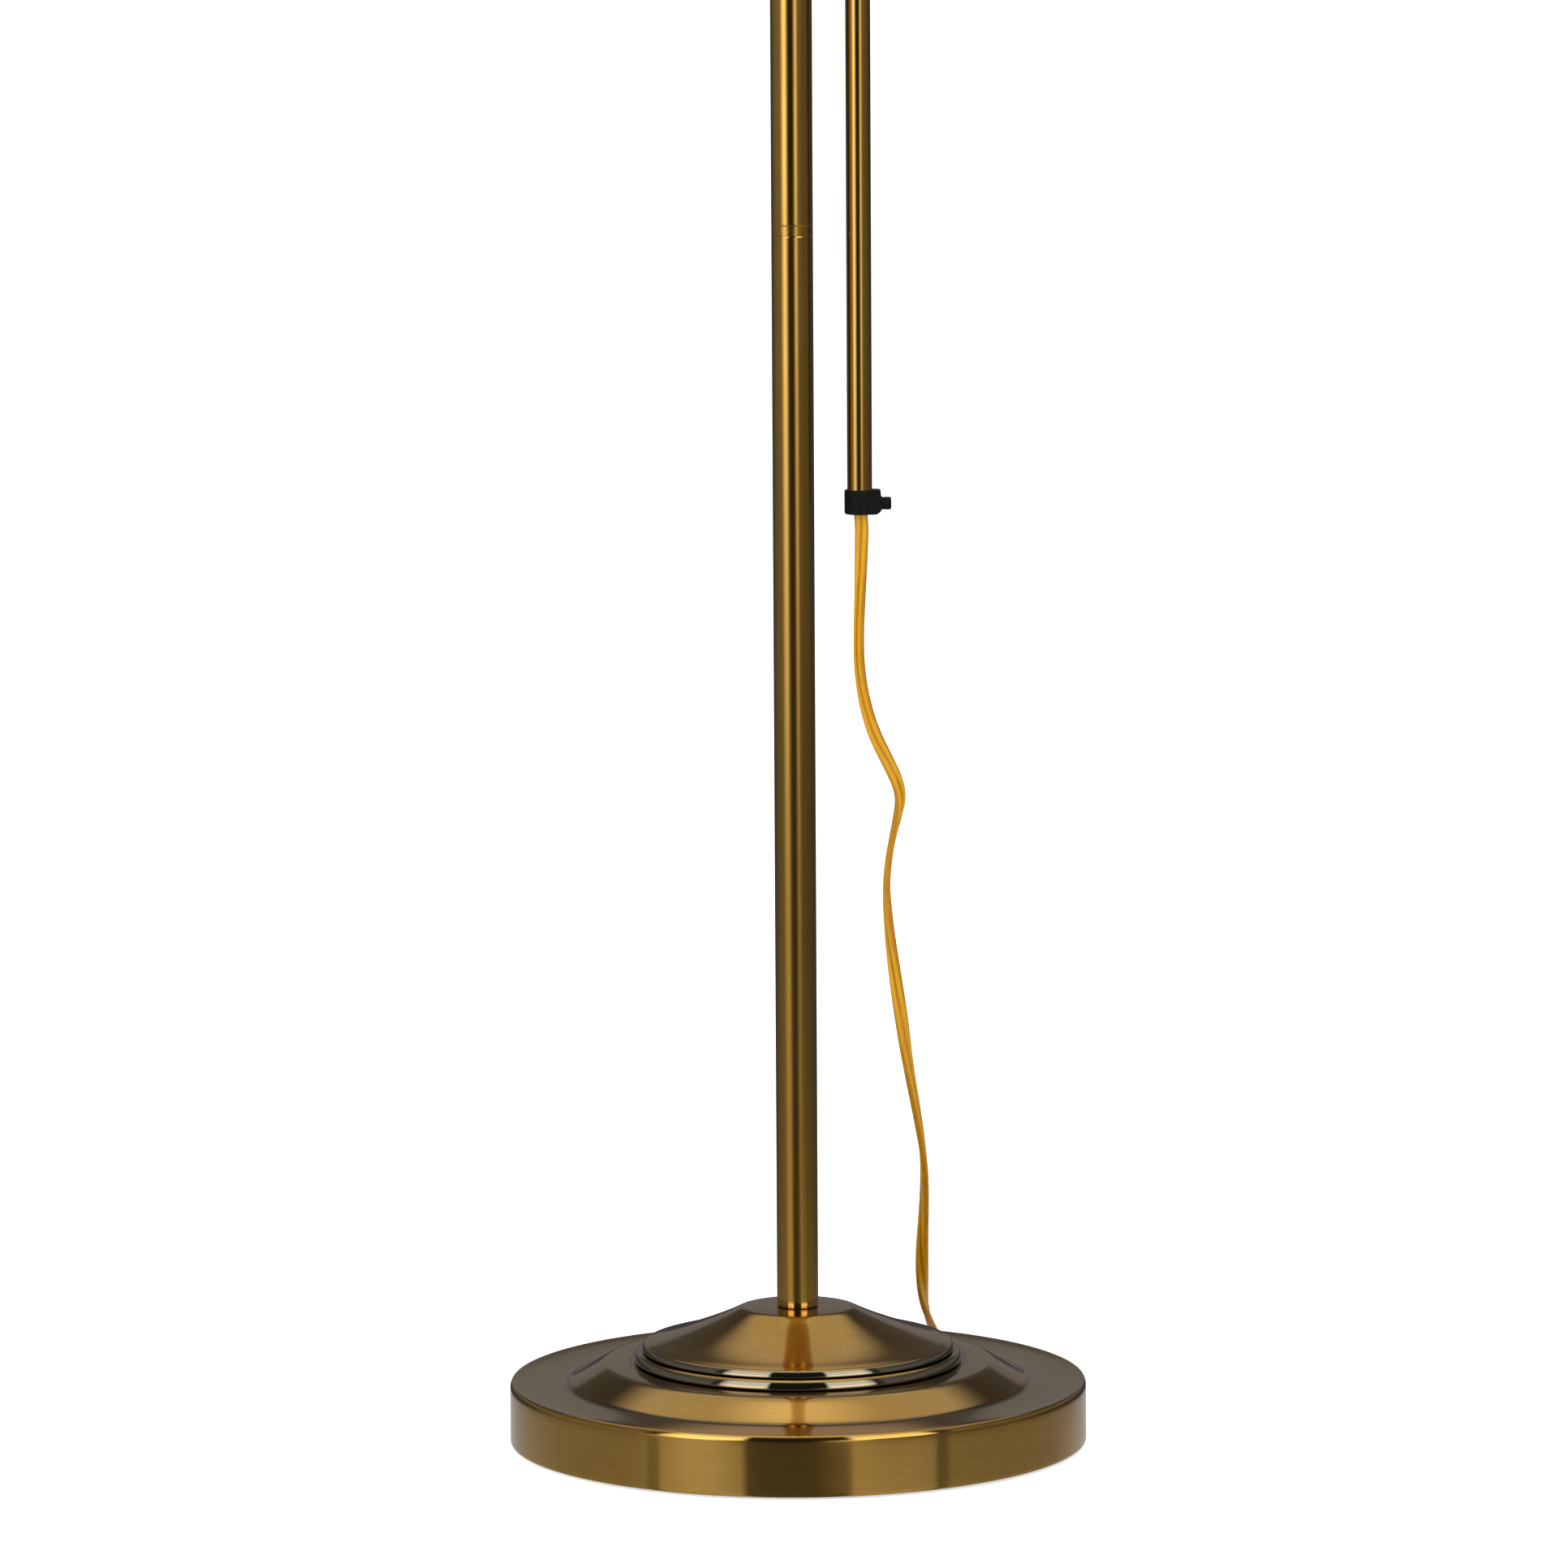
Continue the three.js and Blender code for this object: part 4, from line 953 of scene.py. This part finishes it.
def ear_outline():
    pts = [(-7.6, 1086.5), (7.6, 1086.5), (7.6, PIVOT_Z)] + [(7.6 * math.cos(t), PIVOT_Z + 7.6 * math.sin(t)) for t in np.linspace(0.06, math.pi - 0.06, 28)] + [(-7.6, PIVOT_Z)]
    return pts


ears = []
for y0 in (4.0, -7.2):
    ev, ef = outline_geo(ear_outline(), 0, 3.2, 0.45, 3)
    ears.append(([(ROD_X + x, y0 + z, y) for x, y, z in ev], ef))
hv, hf = lathe_geo(hub, 72)
fork = obj_from("swivel_fork_look", *merge((place_z(hv, ROD_X), hf), *ears), M["fitting"], 38)
seat(fork, "swivel", "fitting_brass", "swivel_fork")
bolt = lathe_geo([(0, -10.6), (2.6, -10.55), (3.7, -10.1), (4.1, -9.4), (4.2, -8.6), (4.2, -7.5), (2.0, -7.5), (2.0, 14.2), (1.7, 14.5), (0, 14.5)], 48)
bo = obj_from("tilt_bolt_look", place_my(bolt[0], ROD_X, 0, PIVOT_Z), bolt[1], M["dark"], 36)
slot_v = [(ROD_X - 4.5, 10.0, PIVOT_Z - 0.45), (ROD_X + 4.5, 10.0, PIVOT_Z - 0.45), (ROD_X + 4.5, 11.2, PIVOT_Z - 0.45), (ROD_X - 4.5, 11.2, PIVOT_Z - 0.45)]
slot_v += [(x, y, PIVOT_Z + 0.45) for x, y, z in slot_v]
cut(bo, (slot_v, [(0, 3, 2, 1), (4, 5, 6, 7), (0, 1, 5, 4), (1, 2, 6, 5), (2, 3, 7, 6), (3, 0, 4, 7)]))
seat(bo, "tilt_screw", "dark_brass", "tilt_bolt")

# ------------------------------------------------------------------ arm
flat = [(7.6 * math.cos(t), 7.6 * math.sin(t)) for t in np.linspace(-2.2, 2.2, 40)]
flat += [(-6.5, 6.15), (-10, 6.2), (-16.4, 6.2), (-16.4, -6.2), (-10, -6.2), (-6.5, -6.15)]
kv, kf = outline_geo(flat, -3.6, 3.6, 0.5, 3)
neck = lathe_geo(fillet([(0, 15.4), (5.9, 15.4, 0.5), (6.4, 16.8, 0.4), (6.4, 27.2, 0.5), (5.9, 28.0, 0.3), (0, 28.0)], 4), 64)
knuckle = obj_from("arm_knuckle_look", *merge(([(ROD_X + x, z, PIVOT_Z + y) for x, y, z in kv], kf), (place_arm(neck[0]), neck[1])), M["fitting"], 38)
seat(knuckle, "arm", "fitting_brass", "arm_knuckle")
seat(lathe("arm_tube_look", tube_profile(ROD_R, ROD_BORE, 15, 100, 0.25, (40, 60, 80)), M["arm"], 72, place_arm), "arm", "rod_brass", "arm_tube")
husk = [(5.06, 94.0), (6.2, 94.0), (6.45, 94.3), (6.6, 96.0), (6.9, 97.6)] + spline([(7.2, 98.4), (9.2, 100.5), (12.0, 102.8), (14.3, 104.7), (15.7, 106.7), (16.4, 109.2)], 4)
husk += [(16.5, 111.0), (16.5, 120.0), (16.5, 128.4), (16.9, 128.8), (16.9, 129.8), (16.5, 130.2), (16.5, 133.2), (16.4, 133.8), (16.1, 134.0), (15.6, 134.0), (15.6, 110), (13.6, 106.3), (8.6, 102.2), (5.06, 100.6)]
hu = lathe("socket_husk_look", husk, M["arm"], 96, place_arm)
cut(hu, (place_my(rod_geo(2.1, 12, 20)[0], ROD_X - 122, 0, PIVOT_Z), rod_geo(2.1, 12, 20)[1]))
seat(hu, "arm", "fitting_brass", "socket_husk")
sock = fillet([(0, 108.4), (12.6, 108.4, 0.6), (15.2, 111.2, 0.6), (15.2, 150, 0.3), (14.3, 150, 0.3), (14.3, 116), (0, 116)], 3)
seat(lathe("socket_body_look", sock, M["phenolic"], 72, place_arm), "arm", "phenolic", "socket_body")


def thread_geo(r, u0, u1, pitch=3.6, depth=0.55, seg=72):
    """Rolled lamp thread between u0 and u1."""
    n = int((u1 - u0) / pitch * 12)
    prof = [(0, u0 - 6.8), (3.4, u0 - 6.8), (4.6, u0 - 5.4), (9.6, u0 - 2.8), (r - 0.6, u0 - 0.6)]
    prof += [(r, u0 + (u1 - u0) * i / n) for i in range(n + 1)]
    prof += [(r - 0.1, u1 + 2.0), (0, u1 + 2.0)]

    def warp(q, z, t):
        if abs(q - r) > 1e-6:
            return q
        edge = min(1.0, (z - u0) / 2.0, (u1 - z) / 2.0)
        return r - depth * (0.5 - 0.5 * math.cos(2 * math.pi * z / pitch - t)) * max(0.0, edge)

    return lathe_geo(prof, seg, warp)


tv, tf = thread_geo(13.0, 125.0, 147.0)
seat(obj_from("bulb_base_look", place_arm(tv), tf, M["thread"], 50), "arm", "alu_thread", "bulb_base")
glass = [(0, 149.3), (12.2, 149.3), (12.5, 150.0)] + spline([(12.7, 151.2), (13.3, 154.0), (14.6, 158.0), (15.4, 161.5), (15.6, 165.0)], 4) + [(15.6, 180), (15.6, 200), (15.6, 220)]
glass += spline([(15.6, 231.0), (15.1, 235.4), (13.7, 239.6), (11.2, 243.0), (8.0, 245.4), (4.2, 246.8), (1.4, 247.15)], 4) + [(0, 247.2)]
seat(lathe("bulb_glass_look", glass, M["glass"], 80, place_arm, angle=60), "arm", "bulb_glass", "bulb_glass")
sr = [(15.6, 136.1), (20.2, 136.1), (20.6, 136.5), (20.6, 139.6), (19.9, 140.5), (15.9, 140.6), (15.6, 140.3)]
sv, sf = lathe_geo(sr, 144, lambda q, z, t: q - (0.35 * (0.5 + 0.5 * math.cos(36 * t)) if q > 20 else 0))
seat(obj_from("shade_ring_look", place_arm(sv), sf, M["dark"], 40), "arm", "dark_brass", "shade_ring")


# ------------------------------------------------------------------ shade
def shade():
    R, SK, ROUND, WALL, U0, LEN = 48.0, 26.0, 12.0, 1.2, 134.4, 176.0
    # outline from one lower edge over the arch to the other; each entry gives a direction from the spine
    prm = [("s", -1, -SK + SK * i / 6) for i in range(6)] + [("a", math.pi * (1 - i / 56)) for i in range(57)] + [("s", 1, -SK * i / 6) for i in range(1, 7)]

    def at(p, q, u):
        """q is the distance from the spine."""
        if p[0] == "s":
            return (ROD_X - u, -p[1] * q, PIVOT_Z + p[2])
        return (ROD_X - u, -q * math.cos(p[1]), PIVOT_Z + q * math.sin(p[1]))

    def shell(shrink):
        a, r_edge = ROUND - shrink, R - shrink
        stations = []
        for i in range(5):
            stations.append((U0 + shrink, (r_edge - a) * (i + 0.02) / 5))
        for i in range(9):
            t = math.pi / 2 * i / 8
            stations.append((U0 + shrink + a * (1 - math.cos(t)), r_edge - a + a * math.sin(t)))
        for i in range(1, 8):
            stations.append((U0 + ROUND + (LEN - 2 * ROUND) * i / 8, r_edge))
        for i in range(9):
            t = math.pi / 2 * (1 - i / 8)
            stations.append((U0 + LEN - shrink - a * (1 - math.cos(t)), r_edge - a + a * math.sin(t)))
        for i in reversed(range(5)):
            stations.append((U0 + LEN - shrink, (r_edge - a) * (i + 0.02) / 5))
        return stations

    verts, faces, fm = [], [], []
    grids = []
    for shrink in (0.0, WALL):
        st = shell(shrink)
        g = []
        for u, q in st:
            row = []
            for p in prm:
                row.append(len(verts))
                verts.append(at(p, q, u))
            g.append(row)
        grids.append(g)
    n = len(prm)
    for gi, g in enumerate(grids):
        for a, b2 in zip(g, g[1:]):
            for j in range(n - 1):
                f = (a[j], a[j + 1], b2[j + 1], b2[j])
                faces.append(f if gi == 0 else f[::-1])
                fm.append(gi)
    # close the lower edge between the skins, and the spine seams at the ends
    go, gi_ = grids
    for j in (0, n - 1):
        for a, b2, c, d in zip(go, go[1:], gi_, gi_[1:]):
            faces.append((a[j], b2[j], d[j], c[j]) if j == 0 else (a[j], c[j], d[j], b2[j]))
            fm.append(0)
    for g, flip in ((go, False), (gi_, True)):
        for row in (g[0], g[-1]):
            # the two halves meet on the spine: stitch mirrored entries
            for j in range(n // 2):
                f = (row[j], row[j + 1], row[n - 2 - j], row[n - 1 - j])
                f = tuple(dict.fromkeys(f))
                if len(f) > 2:
                    faces.append(f)
                    fm.append(1 if flip else 0)
    o = obj_from("shade_look", verts, faces, [M["shade"], M["enamel"]], 40, fm)
    c_v, c_f = rod_geo(15.7, 130, 139, 72)
    cut(o, (place_arm(c_v), c_f))
    return o


sh = shade()
seat(sh, "shade", "shade_brass", "shade")


def rim():
    """Rolled hem along the shade's lower edge."""
    R, SK, ROUND, U0, LEN, h = 48.0, 26.0, 12.0, 134.4, 176.0, 1.15
    path = []
    cx0, cx1 = U0 + ROUND, U0 + LEN - ROUND
    e, rr = R - h, ROUND - h
    for (cu, cy, a0) in ((cx1, e - rr, 0), (cx0, e - rr, 90), (cx0, -(e - rr), 180), (cx1, -(e - rr), 270)):
        for i in range(9):
            t = math.radians(a0 + 90 * i / 8)
            path.append((cu + rr * math.cos(t), cy + rr * math.sin(t)))
    n, verts, faces = len(path), [], []
    for i, (u, y) in enumerate(path):
        a, b2 = path[i - 1], path[(i + 1) % n]
        d = Vector((b2[0] - a[0], b2[1] - a[1])).normalized()
        nx, ny = d.y, -d.x
        for j in range(12):
            t = 2 * math.pi * j / 12
            verts.append((ROD_X - (u + nx * h * math.cos(t)), y + ny * h * math.cos(t), PIVOT_Z - SK + h + h * math.sin(t)))
    for i in range(n):
        for j in range(12):
            faces.append((i * 12 + j, i * 12 + (j + 1) % 12, ((i + 1) % n) * 12 + (j + 1) % 12, ((i + 1) % n) * 12 + j))
    return obj_from("shade_rim_look", verts, faces, M["shade"], 60)


rm = rim()
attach(rm, "shade")

for name in ("cord", "rod_look", "rod_collar_look", "collar_screw_look"):  # the pole mirrors the studio only
    bpy.data.objects[name].visible_glossy = False

# ------------------------------------------------------------------ CAD nodes that stay: inner and hidden pieces
STAY = {
    "base_weight": "iron", "base_nipple": "steel", "nipple_washer": "steel", "base_nut": "steel", "foot_bushing": "dark", "top_bushing": "dark", "top_nipple": "steel",
    "lead_in_rod": "plug", "lead_in_arm": "plug", "swivel_stud": "dark", "screw_shell": "thread", "centre_contact": "blade",
}
for node, m_ in STAY.items():
    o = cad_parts[node]
    if not o.data.materials:
        o.data.materials.append(M[m_])
    for s_ in o.material_slots:
        s_.material = M[m_]

# ------------------------------------------------------------------ floor, studio lights
floor_me = bpy.data.meshes.new("floor")
bm = bmesh.new()
bmesh.ops.create_circle(bm, cap_ends=True, radius=180, segments=96)
bm.to_mesh(floor_me)
bm.free()
floor = bpy.data.objects.new("floor", floor_me)
floor.location.z = -0.0004
scene.collection.objects.link(floor)
fm_, k, b = material("pale_floor")
p = k.here()
k.put(b.inputs["Base Color"], k.mix(k.noise(p, 1.2, 3.0), (0.84, 0.84, 0.84), (0.87, 0.87, 0.865)))
setp(k, b, Roughness=0.9, Specular_IOR_Level=0.1)
b.inputs["Emission Color"].default_value = (1, 1, 1, 1)
b.inputs["Emission Strength"].default_value = 0.62
floor_me.materials.append(fm_)
floor.visible_glossy = False

world = bpy.data.worlds.new("studio")
scene.world = world
world.use_nodes = True
world.node_tree.nodes.clear()
k = Nodes(world.node_tree)
d = k.vec("NORMALIZE", k.new("ShaderNodeTexCoord").outputs["Generated"])
dx, dy, dz = k.split(d)
az = k.math("MULTIPLY", k.math("ARCTAN2", dx, k.math("MULTIPLY", dy, -1.0)), 180 / math.pi)
el = k.math("MULTIPLY", k.math("ARCSINE", dz), 180 / math.pi)
az01 = k.math("DIVIDE", k.math("ADD", az, 180.0), 360.0)


def strip(stops):
    """Brightness round the compass: (azimuth, brightness) with 0 towards the camera."""
    top_ = 4.0
    return k.math("MULTIPLY", k.ramp(az01, [((a + 180) / 360, v / top_) for a, v in stops]), top_)


def mirror(stops):
    return sorted([(-a, v) for a, v in stops if a > 0] + list(stops))


ground = strip(mirror([(0, 0.14), (20.6, 0.14), (21.8, 0.68), (30, 0.73), (46, 0.72), (56, 0.60), (57.5, 0.24), (61.5, 0.24), (63, 0.47), (90, 0.45), (110, 0.42), (130, 0.46), (150, 0.48), (180, 0.46)]))
low = strip([(-180, 0.05), (-150, 0.06), (-130, 0.10), (-110, 0.17), (-90, 0.20), (-67, 0.25), (-60, 0.38), (-50, 0.50), (-41, 0.62), (-33, 0.52), (-26, 0.30), (-20, 0.16), (-12, 0.08), (0, 0.07), (7, 0.11),
             (14, 0.26), (23, 0.40), (31, 0.26), (40, 0.15), (100, 0.12), (130, 0.08), (180, 0.05)])
level = strip([(-180, 0.05), (-130, 0.10), (-112, 0.24), (-90, 0.33), (-67, 0.36), (-61, 0.6), (-54, 1.5), (-47, 2.5), (-41, 2.9), (-34, 2.4), (-28, 1.1), (-24, 0.35), (-18, 0.03), (4, 0.03),
               (9, 0.2), (14, 0.9), (19, 1.8), (26, 1.7), (31, 0.5), (36, 0.26), (60, 0.21), (90, 0.18), (110, 0.08), (180, 0.06)])
upper = strip(mirror([(0, 0.03), (20.5, 0.03), (22, 2.7), (26, 3.3), (50, 3.1), (55, 1.8), (57.5, 0.10), (62, 0.10), (65, 0.34), (100, 0.28), (130, 0.22), (155, 0.20), (180, 0.20)]))
high = strip(mirror([(0, 0.03), (20.5, 0.03), (22, 2.2), (50, 2.2), (55, 1.2), (57.5, 0.10), (62, 0.10), (65, 0.28), (100, 0.18), (130, 0.12), (155, 0.07), (180, 0.12)]))
mixf = lambda f, a, b2: k.math("ADD", k.math("MULTIPLY", a, k.math("SUBTRACT", 1.0, f)), k.math("MULTIPLY", b2, f))
layers = mixf(k.span(el, -11.2, -10.8), ground, low)
layers = mixf(k.span(el, -8.6, -1.6, smooth=True), layers, level)
layers = mixf(k.span(el, 0.5, 5.0, smooth=True), layers, upper)
layers = mixf(k.span(el, 13.0, 17.0, smooth=True), layers, high)
bright = mixf(k.span(el, 32.0, 46.0, smooth=True), layers, k.span(el, 60.0, 74.0, 0.74, 1.7, smooth=True))
path = k.new("ShaderNodeLightPath")
final = mixf(path.outputs["Is Camera Ray"], bright, 1.05)
bg = k.new("ShaderNodeBackground")
k.put(bg.inputs["Color"], k.join(final, final, final))
bg.inputs["Strength"].default_value = 1.0
out = k.new("ShaderNodeOutputWorld")
world.node_tree.links.new(bg.outputs[0], out.inputs[0])


def area(name, at, look, size, watts):
    data = bpy.data.lights.new(name, "AREA")
    data.shape, data.size, data.energy = "DISK", size, watts
    o = bpy.data.objects.new(name, data)
    scene.collection.objects.link(o)
    o.location = at
    o.rotation_mode = "QUATERNION"
    o.rotation_quaternion = (Vector(look) - Vector(at)).to_track_quat("-Z", "Y")
    o.visible_glossy = False
    o.visible_camera = False
    return o


area("key", (-2.2, -1.8, 2.0), (0, 0, 0.3), 0.9, 34)
area("fill", (2.2, -2.0, 1.4), (0, 0, 0.4), 1.8, 4)
area("back", (0.4, 2.6, 2.4), (0, 0, 0.4), 1.8, 18)

scene.view_settings.view_transform = "Standard"
scene.view_settings.look = "None"
